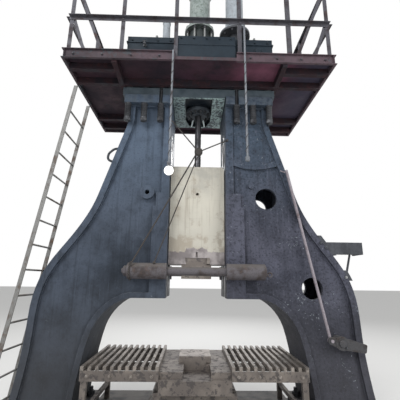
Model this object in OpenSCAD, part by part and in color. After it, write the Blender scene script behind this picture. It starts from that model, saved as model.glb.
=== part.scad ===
// Arch type forging hammer on two hollow cast frames, with a ram on V guides,
// a piston rod through a gland, an oil tank on the head and a railed platform.
// Origin on the ram axis at floor level, +X to the right, +Y to the rear, +Z up.

/* [Frames] */
// Half of the clear gap between the frames
gap_half = 370; // [340:5:420]
// Depth of each frame, front to rear
frame_d = 750; // [640:10:900]
// Thickness of the bed plate under the frames
bed_t = 90; // [70:5:110]
// Half depth of the bed plate round the anvil
bed_half_y = 800; // [760:10:860]
// Height of the machined frame tops
frame_top = 4100; // [4060:10:4140]
// Outer edge of the foot at floor level
foot_x = 2100; // [2040:10:2200]
// Outer edge of the upright leg
leg_x = 1960; // [1900:10:2020]
// Outer edge at the waist above the shoulder
waist_x = 1600; // [1540:10:1660]
// Outer edge at the lower end of the straight taper
taper_x = 1275; // [1220:5:1330]
// Outer edge of the neck under the top flange
neck_x = 950; // [900:5:1000]
// Height of the flat arch soffit
arch_z = 1430; // [1350:10:1500]
// Where the flat soffit ends and the arch curve starts
arch_flat_x = 770; // [700:10:840]
// Inner edge of the leg at floor level
leg_in_x = 1380; // [1320:10:1440]
// How far the rims stand proud of the webs
rim_proud = 45; // [25:5:60]
// Width of the outer rim band
rim_w = 78; // [60:2:100]
// Width of the rim along the gap, above the guides' pads
gap_rim = 100; // [80:5:115]
// Width of the lip round the arch
lip_w = 65; // [50:5:90]
// Thickness of the webs round the core holes
web_t = 55; // [40:5:80]
// Height of the foot flange
foot_t = 110; // [80:5:150]
// How far the foot flange reaches beyond the leg
foot_over = 110; // [60:5:160]
// Thickness of the top flange
top_flange_t = 120; // [90:5:140]
// Lowest point of the sagging ledge on the right frame
ledge_z = 3080; // [3050:10:3110]
// Depth of the raised upper web behind the rims
ledge_proud = 26; // [20:2:34]
// Diameter of the foundation bolt holes
found_dia = 60; // [50:2:70]
// Radius of the upper core hole
core_r1 = 140; // [110:5:160]
// Radius of the lower core hole
core_r2 = 130; // [100:5:150]

/* [Guides and ram] */
// Depth of the slot that carries each guide
guide_t = 60; // [50:2:80]
// Width of a guide, front to rear
guide_w = 320; // [280:10:360]
// Upper end of the guides
guide_z1 = 3640; // [3600:10:3700]
// Half width of the V groove at its mouth
vee_half = 85; // [70:5:100]
// Depth of the V groove
vee_d = 40; // [30:2:46]
// Running clearance of the ram to the guides
ram_clear = 8; // [6:1:12]
// Depth of the ram, front to rear
ram_d = 420; // [400:10:480]
// Underside of the ram at its parked height
ram_z0 = 1840; // [1800:10:1880]
// Height of the ram block
ram_h = 1316; // [1250:10:1350]
// Bevel on the upper corners of the ram
ram_bevel = 30; // [15:5:50]
// Diameter of the piston rod
rod_dia = 90; // [80:2:110]
// Running gap all round the piston and the pins
run_gap = 0.3; // [0.2:0.1:0.6]
// Thickness of the piston
piston_t = 140; // [110:10:180]

/* [Dies and anvil] */
// Width of the dies
die_w = 380; // [320:10:440]
// Length of the dies, front to rear
die_d = 400; // [360:10:440]
// Visible height of the upper die
upper_die_h = 180; // [150:5:200]
// Height of the striking face of the lower die
anvil_face_z = 760; // [740:5:780]
// Height of the anvil cap top
cap_top_z = 690; // [660:5:710]
// Height of the dovetail roots
tail_h = 80; // [60:5:100]
// Half width of the anvil cap
cap_half = 390; // [370:5:400]
// Height of the joint between anvil and cap
anvil_z = 470; // [420:10:520]
// Width of the driven die keys
key_w = 40; // [30:2:50]
// Half width of the anvil where it passes the bed plate
anvil_half_x = 520; // [490:10:540]
// Half depth of the anvil where it passes the bed plate
anvil_half_y = 580; // [560:10:610]
// Thickness of the timber packing round the anvil
pack_t = 70; // [50:5:80]

/* [Work tables] */
// Height of the table tops
table_z = 750; // [720:5:780]
// Outer edge of the tables
table_x = 1215; // [1190:5:1230]
// Front edge of the tables
table_y0 = -650; // [-700:10:-600]
// Rear edge of the tables
table_y1 = 530; // [480:10:580]
// Height of the table apron
apron_h = 145; // [120:5:170]
// Number of table bars on each side
bar_n = 11; // [9:1:12]
// Width of a table bar
bar_w = 34; // [28:1:40]
// Height of a table bar
bar_h = 42; // [34:1:50]

/* [Stretchers] */
// Height of the stretcher axis
stretch_z = 1745; // [1700:5:1790]
// Diameter of the end sleeves
sleeve_dia = 190; // [160:5:210]
// Diameter of the middle bar
bar_dia = 100; // [80:5:120]
// Outer end of the sleeves
sleeve_x = 815; // [780:5:850]

/* [Cylinder head] */
// How far the base reaches down between the frames
spigot_h = 25; // [15:5:50]
// Height of the cylinder base over the frame tops
base_h = 200; // [170:5:230]
// Half depth of the cylinder base flanges
base_half_y = 450; // [440:5:470]
// How far the cylinder base reaches beyond the necks
base_over = 90; // [70:5:120]
// Half width of the recess in the underside of the base
recess_half = 190; // [180:5:210]
// Diameter of the gland flange
gland_dia = 370; // [320:5:374]
// Thickness of the gland flange
gland_t = 40; // [25:5:50]
// Diameter of the gland's body
gland_body = 240; // [200:5:280]
// Diameter of the holding bolts
bolt_dia = 42; // [36:2:44]
// Number of disc springs under each holding bolt
spring_n = 8; // [6:1:9]
// Outside diameter of the power cylinder
cyl_dia = 330; // [300:5:360]
// Bore of the power cylinder
cyl_bore = 232; // [206:2:240]
// Diameter of the flange on the power cylinder
cyl_flange_dia = 470; // [440:5:500]
// Height of the upper cylinder flange over the base
cyl_flange_up = 1190; // [1100:10:1260]
// Height of the power cylinder over the base
cyl_h = 1940; // [1850:10:2000]
// Number of studs between the cylinder's flanges
stud_n = 8; // [6:1:12]

/* [Oil tank] */
// Half width of the oil tank
tank_half_x = 920; // [860:10:980]
// Half depth of the oil tank
tank_half_y = 900; // [840:10:940]
// Height of the oil tank
tank_h = 340; // [300:10:420]
// Distance of the accumulator from the right end of the tank
acc_inset = 360; // [320:5:400]
// Distance of the filter canister from the left end of the tank
filter_inset = 395; // [360:5:430]
// Diameter of the accumulator
acc_dia = 280; // [250:5:310]

/* [Platform] */
// Width of the walkway at each end of the tank
walk_side = 730; // [690:10:770]
// Width of the strip in front of the tank
walk_front = 80; // [75:5:120]
// Width of the strip behind the tank
walk_rear = 100; // [80:5:140]
// Thickness of the platform plate
plat_t = 8; // [6:1:12]
// Height of the top rail over the plate
rail_h = 1100; // [1000:10:1200]
// Leg width of the angle iron
angle_w = 50; // [40:5:55]
// Thickness of the angle iron
angle_t = 6; // [5:1:8]
// Outer left post of the front and rear railing
post_a = 1000; // [950:10:1050]
// Inner left post of the front and rear railing
post_b = 330; // [300:10:360]
// Inner right post of the front and rear railing
post_c = 470; // [450:10:500]
// Outer right post of the front and rear railing
post_d = 1100; // [1060:10:1140]
// Height of the edge channels
edge_h = 130; // [110:5:150]
// Height of the joists
joist_h = 90; // [80:5:100]

/* [Lamps and rope] */
// Diameter of the lamp poles
pole_dia = 24; // [20:2:28]
// Height of the left lamp holder's mouth
lamp_z = 2866; // [2800:2:2920]
// Diameter of the lamp bulb
bulb_dia = 104; // [90:2:110]
// Height of the right pole's lower end
pole_z = 2940; // [2880:10:3000]
// Height of the knot that joins the rope's strands
knot_z = 3300; // [3260:10:3340]
// Height of the rope's tie on the left frame
tie_z1 = 3790; // [3740:10:3840]
// Height of the rope's tie on the right frame
tie_z2 = 3480; // [3430:10:3530]

/* [Ladder] */
// Rung pitch of the ladder
rung_pitch = 305; // [290:5:320]
// Width of the ladder between its stringers
ladder_w = 550; // [500:10:600]
// How far the ladder foot stands out from its head
ladder_lean = 620; // [500:10:700]

/* [Control gear] */
// Diameter of the control rod
control_dia = 35; // [30:1:40]
// Horizontal position of the lever pivot
pivot_x = 1680; // [1650:5:1710]
// Height of the lever pivot
pivot_z = 960; // [930:5:990]
// Height of the underside of the side arm
arm_z = 1980; // [1940:5:2020]
// Height of the side arm's profile
arm_h = 150; // [120:5:170]
// Horizontal position of the upper end of the arm's brace
brace_top = 1930; // [1910:5:1970]
// Slant of the arm's brace, sideways
brace_x = 65; // [50:5:75]
// Slant of the arm's brace, downwards
brace_h = 250; // [235:5:280]
// Horizontal position of the control rod's upper end
rod_top_x = 1160; // [1130:5:1190]
// Height of the control rod's upper end
rod_top_z = 3060; // [3000:10:3120]
// Length of the lever from its pivot to its end
lever_l = 285; // [260:5:310]
// Depth of the lever's bar at its end
lever_h = 96; // [80:2:110]
// Diameter of the lever's hub
hub_dia = 150; // [130:2:160]
// Diameter of the lever pivot pin
pin_dia = 40; // [30:2:50]
// Length of the side arm beyond the frame
arm_x = 2090; // [2040:10:2140]

/* [Hidden] */
$fn = 64;
eps = 1;
touch = 0.3;
half_d = frame_d / 2;
ram_half = gap_half - ram_clear;
ram_z1 = ram_z0 + ram_h;
vee_slope = 50 / vee_d;
ridge_root = vee_half - ram_clear - 1 + vee_slope * ram_clear;
ridge_tip = vee_half - ram_clear - 1 - vee_slope * (vee_d - 6);
upper_die_z = ram_z0 - upper_die_h;
stroke_down = upper_die_z - anvil_face_z - 10;
base_top = frame_top + base_h;
base_x = neck_x + base_over;
cyl_z0 = base_top - 120;
cyl_flange_z = base_top + cyl_flange_up;
cyl_top = base_top + cyl_h;
spigot_x = gap_half - 10;
spigot_z = frame_top - spigot_h;
slab_z = base_top - joist_h - touch;
recess_z = cyl_z0 - 40;
gland_z = spigot_z - 15;
piston_z0 = cyl_z0 + stroke_down + 90;
stretch_y = half_d + sleeve_dia / 2 + 0.5;
flange_y = half_d + 92;
lever_y = half_d + 71;
rod_y0 = half_d + 28;
lever_tilt = 12;
brace_tilt = atan2(brace_x, brace_h);
arm_y = -half_d + 10;
link_r = 115;
link_x = pivot_x - link_r * cos(lever_tilt);
link_z = pivot_z + link_r * sin(lever_tilt);
deck_z = base_top;
deck_top = deck_z + plat_t;
tank_z1 = deck_top + tank_h;
plat_x = tank_half_x + walk_side;
plat_y0 = -tank_half_y - walk_front;
plat_y1 = tank_half_y + walk_rear;
acc_x = tank_half_x - acc_inset;
filter_x = filter_inset - tank_half_x;
guide_z0 = arch_z + 2;
piston_dia = cyl_bore - 2 * run_gap;
foot_z = bed_t;
bolt_y = half_d + 46;
bolt_hole = bolt_dia + 6;
bolt_xs = [neck_x + 15, (neck_x + 540) / 2, 520];
edge_out = 34;
edge_t = 8;
fit_y = plat_y0 - edge_out - pole_dia / 2 - touch;
bay_x0 = -post_b + 20;
bay_x1 = post_c - 20;
beam_x = base_x - 20 + touch;
beam_w = 60;
joist_y = bolt_y + 50;
post_in = angle_t + touch;
bay_y = plat_y0 + post_in + angle_t + touch;
post_h = rail_h - angle_t - touch;
link_pin = 22;
eye_front = lever_y + 24 + 0.5;
tie_x = sleeve_x - 30;
acc_y = -60;
ladder_y = -130;
rung_z0 = 220;
foot_bolts = [leg_in_x - 55, foot_x + 55];
taper_z = 2700;
neck_z = frame_top - 250;
waist_z = 2100;
shoulder_z = 1200;
iron = [0.20, 0.22, 0.26];
steel = [0.45, 0.45, 0.46];
cream = [0.72, 0.68, 0.58];
silver = [0.70, 0.73, 0.72];
slate = [0.25, 0.31, 0.33];
oxide = [0.45, 0.20, 0.16];
basegreen = [0.40, 0.44, 0.40];
brown = [0.36, 0.31, 0.28];

function bez(a, b, c, d, t) = a * pow(1 - t, 3) + 3 * b * t * pow(1 - t, 2)
    + 3 * c * t * t * (1 - t) + d * pow(t, 3);
function arc_pts(a, b, c, d, n) = [for (i = [0 : n - 1]) bez(a, b, c, d, i / n)];

// Outline of one frame, counted anticlockwise from the inner edge of the foot.
foot_run = arc_pts([foot_x, foot_z], [foot_x - 80, 440], [leg_x + 5, 800], [leg_x, shoulder_z], 6);
shoulder_run = arc_pts([leg_x, shoulder_z], [leg_x - 8, 1660], [waist_x + 190, 1840],
    [waist_x, waist_z], 10);
waist_run = arc_pts([waist_x, waist_z], [waist_x - 150, 2310], [taper_x + 70, 2480],
    [taper_x, taper_z], 8);
neck_run = arc_pts([neck_x + 90, neck_z - 400], [neck_x + 40, neck_z - 240],
    [neck_x, neck_z - 150], [neck_x, neck_z], 5);
arch_run = arc_pts([arch_flat_x, arch_z], [arch_flat_x + 190, arch_z - 10],
    [leg_in_x - 220, arch_z - 190], [leg_in_x - 150, arch_z - 400], 9);
leg_run = arc_pts([leg_in_x - 150, arch_z - 400], [leg_in_x - 80, arch_z - 620],
    [leg_in_x - 10, 370], [leg_in_x, foot_z], 6);
outline = concat(foot_run, shoulder_run, waist_run, [[taper_x, taper_z]], neck_run,
    [[neck_x, neck_z], [neck_x, frame_top], [gap_half, frame_top], [gap_half, arch_z]],
    arch_run, leg_run, [[leg_in_x, foot_z]]);
n_foot = len(foot_run) + len(shoulder_run) + len(waist_run) + 1 + len(neck_run) + 1;
rims = [for (i = [0 : len(outline) - 1]) i < n_foot ? rim_w
    : i == n_foot ? top_flange_t + 20 : i == n_foot + 1 ? gap_rim
    : i == len(outline) - 1 ? foot_t + 60 : lip_w];

function unit2(v) = v / norm(v);
function inward(a, b) = let (u = unit2(b - a)) [-u[1], u[0]];
function meet(p, na, wa, nb, wb) = let (k = na[0] * nb[1] - na[1] * nb[0])
    abs(k) < 0.02 ? p + (na * wa + nb * wb) / 2
    : p + [(wa * nb[1] - wb * na[1]) / k, (na[0] * wb - nb[0] * wa) / k];
function inset(p, w) = let (n = len(p)) [for (i = [0 : n - 1])
    let (j = (i + n - 1) % n, k = (i + 1) % n)
    meet(p[i], inward(p[j], p[i]), w[j], inward(p[i], p[k]), w[i])];
web_line = inset(outline, rims);

module upright(y0, y1) {
    translate([0, y1, 0])
        rotate([90, 0, 0])
            linear_extrude(height = y1 - y0)
                children();
}

module box(x0, x1, y0, y1, z0, z1) {
    translate([x0, y0, z0])
        cube([x1 - x0, y1 - y0, z1 - z0]);
}

module rod_x(x0, x1, y, z, d) {
    translate([x0, y, z])
        rotate([0, 90, 0])
            cylinder(h = x1 - x0, d = d);
}

module rod_y(x, y0, y1, z, d) {
    translate([x, y0, z])
        rotate([-90, 0, 0])
            cylinder(h = y1 - y0, d = d);
}

module rod_between(a, b, d) {
    v = b - a;
    translate(a)
        rotate([0, acos(v[2] / norm(v)), atan2(v[1], v[0])])
            cylinder(h = norm(v), d = d);
}

// Open notches in front of the inner holding bolts, which are put in from outside.
module bolt_notches(z0, z1) {
    x = bolt_xs[2];
    for (s = [-1, 1])
        box(x - bolt_hole / 2, x + bolt_hole / 2, s < 0 ? -flange_y - eps : bolt_y,
            s < 0 ? -bolt_y : flange_y + eps, z0, z1);
}

module frame_body() {
    difference() {
        union() {
            upright(-half_d, half_d) polygon(outline);
            box(leg_in_x - foot_over, foot_x + foot_over, -half_d - 70, half_d + 70, foot_z,
                foot_z + foot_t);
            box(gap_half, neck_x + 60, -flange_y, flange_y, frame_top - top_flange_t, frame_top);
            for (s = [-1, 1])
                box(450, 720, s < 0 ? -stretch_y : half_d - eps, s < 0 ? -half_d + eps : stretch_y,
                    stretch_z - 55, stretch_z + 55);
        }
        upright(-half_d - eps, -half_d + rim_proud) polygon(web_line);
        upright(half_d - rim_proud, half_d + eps) polygon(web_line);
        box(gap_half - eps, gap_half + guide_t, -guide_w / 2, guide_w / 2, arch_z - 50, guide_z1);
        for (s = [-1, 1])
            rod_x(400, 800, s * stretch_y, stretch_z, sleeve_dia + 2 * touch);
        for (x = foot_bolts, y = [-250, 250])
            translate([x, y, foot_z - eps])
                cylinder(h = foot_t + 2 * eps, d = found_dia);
        for (x = bolt_xs, y = [-bolt_y, bolt_y])
            translate([x, y, frame_top - top_flange_t - eps])
                cylinder(h = top_flange_t + 2 * eps, d = bolt_hole);
        bolt_notches(frame_top - top_flange_t - eps, frame_top + eps);
    }
}

module guide_plate(x1) {
    for (s = [-1, 1]) {
        y0 = s < 0 ? -half_d : half_d - rim_proud - eps;
        y1 = s < 0 ? -half_d + rim_proud + eps : half_d;
        box(gap_half, x1, y0, y1, arch_z, 2560);
        box(gap_half, x1 - 40, y0, y1, 2559, 2740);
    }
}

// Raised upper web that ends in a sagging ledge, with a rib along the ledge.
module web_ledge() {
    for (s = [-1, 1], pad = [0, 1]) {
        low = pad == 1 ? ledge_proud : 10;
        intersection() {
            upright(s < 0 ? -half_d + low : half_d - rim_proud - eps,
                s < 0 ? -half_d + rim_proud + eps : half_d - low)
                polygon(web_line);
            difference() {
                rod_y(760, -half_d, half_d, ledge_z + 820, 1640);
                if (pad == 0)
                    rod_y(760, -half_d - 1, half_d + 1, ledge_z + 820, 1500);
            }
        }
    }
}

module bed_plate() {
    color(iron)
        difference() {
            union() {
                box(-leg_in_x + foot_over, leg_in_x - foot_over, -bed_half_y, bed_half_y, 0, bed_t);
                box(-foot_x - foot_over, foot_x + foot_over, -half_d - 145, half_d + 145, 0, bed_t);
            }
            box(-anvil_half_x - pack_t, anvil_half_x + pack_t, -anvil_half_y - pack_t,
                anvil_half_y + pack_t, -eps, bed_t + eps);
            for (s = [-1, 1], x = foot_bolts, y = [-250, 250])
                translate([s * x, y, -eps])
                    cylinder(h = bed_t + 2 * eps, d = found_dia);
        }
}

module anvil_packing() {
    g = touch;
    color([0.40, 0.31, 0.22])
        for (s = [-1, 1]) {
            box(s < 0 ? -anvil_half_x - pack_t + g : anvil_half_x + g,
                s < 0 ? -anvil_half_x - g : anvil_half_x + pack_t - g,
                -anvil_half_y + 40, anvil_half_y - 40, 0, bed_t + 25);
            box(-anvil_half_x + 40, anvil_half_x - 40,
                s < 0 ? -anvil_half_y - pack_t + g : anvil_half_y + g,
                s < 0 ? -anvil_half_y - g : anvil_half_y + pack_t - g, 0, bed_t + 25);
        }
}

module left_frame() {
    color(iron)
        mirror([1, 0, 0])
            difference() {
                union() {
                    frame_body();
                    guide_plate(570);
                    for (s = [-1, 1])
                        rod_y(650, s < 0 ? -half_d - 15 : half_d - rim_proud - eps,
                            s < 0 ? -half_d + rim_proud + eps : half_d + 15, 2740, 180);
                }
                for (s = [-1, 1])
                    rod_y(650, s < 0 ? -half_d - 16 : half_d - 160, s < 0 ? -half_d + 160 : half_d + 16,
                        2740, 60);
            }
}

module right_frame() {
    inner_y = half_d - rim_proud - web_t;
    color(iron)
        difference() {
            union() {
                frame_body();
                guide_plate(600);
                web_ledge();
                for (s = [-1, 1])
                    rod_y(700, s < 0 ? -half_d + 5 : half_d - rim_proud - eps,
                        s < 0 ? -half_d + rim_proud + eps : half_d - 5, 2850, 70);
            }
            box(660, 1120, -inner_y, inner_y, 2400, 2970);
            box(1170, 1680, -inner_y, inner_y, 1340, 1800);
            rod_y(900, -half_d - eps, half_d + eps, 2690, 2 * core_r1);
            rod_y(1430, -half_d - eps, half_d + eps, 1560, 2 * core_r2);
        }
}

module guide() {
    difference() {
        box(gap_half, gap_half + guide_t - touch, -guide_w / 2 + touch, guide_w / 2 - touch,
            guide_z0, guide_z1 - touch);
        translate([0, 0, guide_z0 - eps])
            linear_extrude(height = guide_z1 - guide_z0 + 2 * eps)
                polygon([[gap_half - eps, -vee_half], [gap_half, -vee_half],
                    [gap_half + vee_d, -vee_half + 50], [gap_half + vee_d, vee_half - 50],
                    [gap_half, vee_half], [gap_half - eps, vee_half]]);
    }
}

module left_guide() {
    color(steel)
        mirror([1, 0, 0])
            guide();
}

module right_guide() {
    color(steel)
        guide();
}

module ram() {
    color(cream)
        difference() {
            union() {
                upright(-ram_d / 2, ram_d / 2)
                    polygon([[-ram_half, ram_z0], [ram_half, ram_z0], [ram_half, ram_z1 - ram_bevel],
                        [ram_half - ram_bevel, ram_z1], [-ram_half + ram_bevel, ram_z1],
                        [-ram_half, ram_z1 - ram_bevel]]);
                for (s = [0, 1])
                    mirror([s, 0, 0])
                        translate([0, 0, ram_z0])
                            linear_extrude(height = ram_h - ram_bevel)
                                polygon([[ram_half - eps, -ridge_root], [ram_half, -ridge_root],
                                    [gap_half + vee_d - 6, -ridge_tip],
                                    [gap_half + vee_d - 6, ridge_tip],
                                    [ram_half, ridge_root], [ram_half - eps, ridge_root]]);
            }
            upright(-ram_d / 2 - eps, ram_d / 2 + eps)
                polygon([[-die_w / 2 + 60, ram_z0 - eps], [die_w / 2 - 60 + key_w, ram_z0 - eps],
                    [die_w / 2 - 60 + key_w, ram_z0 + tail_h], [-die_w / 2 + 40, ram_z0 + tail_h]]);
            rod_y(0, -ram_d / 2 - eps, -ram_d / 2 + 120, 2770, 40);
            box(-10, 14, -ram_d / 2 - eps, -ram_d / 2 + 40, ram_z0 + tail_h + 8, ram_z0 + tail_h + 75);
            translate([0, 0, ram_z1 - 300])
                cylinder(h = 301, d = rod_dia + 2 * touch);
        }
}

module upper_die() {
    color(steel)
        upright(-die_d / 2, die_d / 2)
            polygon([[-die_w / 2, upper_die_z], [die_w / 2, upper_die_z], [die_w / 2, ram_z0],
                [die_w / 2 - 60, ram_z0], [die_w / 2 - 60, ram_z0 + tail_h],
                [-die_w / 2 + 40, ram_z0 + tail_h], [-die_w / 2 + 60, ram_z0], [-die_w / 2, ram_z0]]);
}

module upper_die_key() {
    color(steel)
        box(die_w / 2 - 60, die_w / 2 - 60 + key_w, -ram_d / 2 - 40, ram_d / 2 + 25, ram_z0 + 6,
            ram_z0 + tail_h);
}

module piston_rod() {
    color(steel)
        translate([0, 0, ram_z1 - 299])
            cylinder(h = piston_z0 - ram_z1 + 299, d = rod_dia);
}

module piston() {
    color(steel)
        translate([0, 0, piston_z0])
            cylinder(h = piston_t, d = piston_dia);
}

module anvil() {
    color(brown)
        union() {
            box(-anvil_half_x, anvil_half_x, -anvil_half_y, anvil_half_y, 0, 300);
            upright(-anvil_half_y + 30, anvil_half_y - 30)
                polygon([[-anvil_half_x, 299], [anvil_half_x, 299], [cap_half + 60, 390],
                    [cap_half + 60, anvil_z], [-cap_half - 60, anvil_z], [-cap_half - 60, 390]]);
        }
}

module anvil_cap() {
    color(brown)
        difference() {
            union() {
                box(-cap_half, cap_half, -640, 560, anvil_z, cap_top_z - 70);
                box(-cap_half, cap_half, -610, 530, cap_top_z - 71, cap_top_z);
            }
            upright(-641, 561)
                polygon([[-die_w / 2 + 60, cap_top_z + eps], [-die_w / 2 + 40, cap_top_z - tail_h],
                    [die_w / 2 - 60 + key_w, cap_top_z - tail_h],
                    [die_w / 2 - 60 + key_w, cap_top_z + eps]]);
        }
}

module lower_die() {
    color(steel)
        upright(-die_d / 2, die_d / 2)
            polygon([[-die_w / 2, cap_top_z], [-die_w / 2 + 60, cap_top_z],
                [-die_w / 2 + 40, cap_top_z - tail_h], [die_w / 2 - 60, cap_top_z - tail_h],
                [die_w / 2 - 60, cap_top_z], [die_w / 2, cap_top_z], [die_w / 2, anvil_face_z],
                [-die_w / 2, anvil_face_z]]);
}

module lower_die_key() {
    color(steel)
        box(die_w / 2 - 60, die_w / 2 - 60 + key_w, -die_d / 2 - 80, die_d / 2 + 40,
            cap_top_z - tail_h, cap_top_z - 6);
}

module work_table() {
    x0 = cap_half;
    y0 = table_y0;
    y1 = table_y1;
    top = table_z - bar_h;
    difference() {
        box(x0, table_x, y0, y1, table_z - apron_h, top);
        box(x0 + 12, table_x - 12, y0 + 12, y1 - 12, table_z - apron_h - eps, top + eps);
    }
    for (y = [y0 + 12, y1 - 72])
        box(table_x - 72, table_x - 12, y, y + 60, bed_t, top);
    for (y = [y0 + 350, y1 - 390])
        box(x0 + 12 - eps, table_x - 12 + eps, y, y + 40, table_z - apron_h + 20, top);
    box(table_x - 62, table_x - 22, y0 + 71, y1 - 71, 260, 310);
}

module table_bars() {
    pitch = (table_x - cap_half - bar_w) / (bar_n - 1);
    for (i = [0 : bar_n - 1])
        box(cap_half + i * pitch, cap_half + i * pitch + bar_w, table_y0, table_y1,
            table_z - bar_h, table_z);
}

module left_work_table() {
    color(brown)
        mirror([1, 0, 0])
            work_table();
}

module right_work_table() {
    color(brown)
        work_table();
}

module left_table_bars() {
    color(steel)
        mirror([1, 0, 0])
            table_bars();
}

module right_table_bars() {
    color(steel)
        table_bars();
}

module stretcher(s) {
    for (m = [-1, 1]) {
        rod_x(m < 0 ? -sleeve_x : 355, m < 0 ? -355 : sleeve_x, s * stretch_y, stretch_z, sleeve_dia);
        rod_x(m < 0 ? -sleeve_x - 14 : sleeve_x - eps, m < 0 ? -sleeve_x + eps : sleeve_x + 14,
            s * stretch_y, stretch_z, sleeve_dia - 50);
    }
    rod_x(-356, 356, s * stretch_y, stretch_z, bar_dia);
}

module front_stretcher() {
    color(iron)
        union() {
            stretcher(-1);
            rod_x(sleeve_x + 13, sleeve_x + 40, -stretch_y, stretch_z - 30, 24);
            translate([sleeve_x + 62, -stretch_y, stretch_z - 30])
                rotate([90, 0, 0])
                    rotate_extrude()
                        translate([24, 0])
                            circle(d = 18);
        }
}

module rear_stretcher() {
    color(iron)
        stretcher(1);
}

// Half of the recess outline in plan, narrowed behind the gland.
module recess_plan() {
    wall = 35;
    rear = base_half_y - wall;
    polygon([[-recess_half, -rear], [recess_half, -rear], [recess_half, rear - 200],
        [recess_half - 60, rear], [-recess_half + 60, rear], [-recess_half, rear - 200]]);
}

// Base plate on the frame tops, recessed from below round the gland, with two ribs behind it.
module cylinder_base() {
    step_y = base_half_y - 80;
    rib = base_half_y - 30;
    seat_z = gland_z + gland_t + touch;
    color(basegreen)
        difference() {
            union() {
                box(-base_x + 20, base_x - 20, -step_y, step_y, slab_z - eps, base_top);
                difference() {
                    union() {
                        box(-base_x, base_x, -base_half_y, base_half_y, frame_top, slab_z);
                        box(-spigot_x, spigot_x, -base_half_y, base_half_y, spigot_z,
                            frame_top + eps);
                    }
                    translate([0, 0, spigot_z - eps])
                        linear_extrude(height = recess_z - spigot_z + eps)
                            recess_plan();
                }
                translate([0, 0, seat_z])
                    cylinder(h = recess_z - seat_z + eps, d = gland_dia - 20);
                for (s = [0, 1])
                    mirror([s, 0, 0])
                        translate([0, 0, spigot_z])
                            linear_extrude(height = recess_z - spigot_z + eps)
                                polygon([[55, 100], [79, 100], [117, rib], [93, rib]]);
            }
            translate([0, 0, spigot_z - 50])
                cylinder(h = seat_z - spigot_z + 50, d = gland_dia + 8);
            translate([0, 0, spigot_z - eps])
                cylinder(h = base_top - spigot_z, d = gland_body + 2 * touch);
            translate([0, 0, cyl_z0 - touch])
                cylinder(h = base_top - cyl_z0 + 2, d = cyl_dia + 2 * touch);
            for (s = [-1, 1], x = bolt_xs, y = [-bolt_y, bolt_y])
                translate([s * x, y, frame_top - eps])
                    cylinder(h = slab_z - frame_top + 2 * eps, d = bolt_hole);
            for (s = [0, 1])
                mirror([s, 0, 0])
                    bolt_notches(frame_top - eps, slab_z + eps);
        }
}

module gland() {
    color(steel)
        difference() {
            union() {
                translate([0, 0, gland_z])
                    cylinder(h = cyl_z0 - gland_z - touch, d = gland_body);
                translate([0, 0, gland_z])
                    cylinder(h = gland_t, d = gland_dia);
                translate([0, 0, gland_z - 30])
                    cylinder(h = 31, d = rod_dia + 130);
            }
            translate([0, 0, gland_z - 31])
                cylinder(h = cyl_z0 - gland_z + 40, d = rod_dia + 6);
        }
}

// One long bolt with its nut over the base and its stack of disc springs below.
module spring_bolt(x, y) {
    under = frame_top - top_flange_t;
    seat = slab_z;
    low = under - 6 - 24 * spring_n;
    washer = bolt_y - half_d - 1;
    r = bolt_dia / 2;
    stack = [for (k = [spring_n - 1 : -1 : 0], j = [0, 1])
        [j == 0 ? 32 : 44, under - 24 * k - (j == 0 ? 30 : 18)]];
    translate([x, y, 0])
        rotate_extrude()
            polygon(concat([[0, low - 72], [r - 3, low - 72], [r - 3, low - 68], [r, low - 66],
                [r, low - 58], [40, low - 58], [40, low - 26], [washer, low - 24],
                [washer, low - 10]], stack, [[44, under - touch], [r, under - touch],
                [r, seat + touch], [43, seat + touch], [43, seat + 8], [37, seat + 10],
                [37, seat + 50], [33, seat + 54], [r, seat + 54], [r, seat + 70],
                [r - 3, seat + 74], [0, seat + 74]]));
}

module holding_bolts() {
    for (x = bolt_xs, y = [-bolt_y, bolt_y])
        spring_bolt(x, y);
}

module left_holding_bolts() {
    color(steel)
        mirror([1, 0, 0])
            holding_bolts();
}

module right_holding_bolts() {
    color(steel)
        holding_bolts();
}

module cylinder_barrel() {
    color(silver)
        difference() {
            union() {
                translate([0, 0, cyl_z0])
                    cylinder(h = cyl_top - cyl_z0, d = cyl_dia);
                translate([0, 0, cyl_flange_z])
                    cylinder(h = 45, d = cyl_flange_dia);
                translate([0, 0, tank_z1])
                    cylinder(h = 30, d = cyl_flange_dia);
            }
            translate([0, 0, cyl_z0 - eps])
                cylinder(h = cyl_top - cyl_z0 + 2 * eps, d = cyl_bore);
        }
}

module cylinder_head() {
    color(silver)
        union() {
            translate([0, 0, cyl_top])
                cylinder(h = 50, d = cyl_dia + 60);
            translate([0, 0, cyl_top + 49])
                cylinder(h = 40, d = 140);
        }
}

module cylinder_studs() {
    color(steel)
        for (i = [0 : stud_n - 1])
            rotate([0, 0, 22.5 + i * 360 / stud_n])
                translate([cyl_flange_dia / 2 - 32, 0, tank_z1 + 30 + touch])
                    cylinder(h = cyl_flange_z - tank_z1 - 30 - 2 * touch, d = 28);
}

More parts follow.
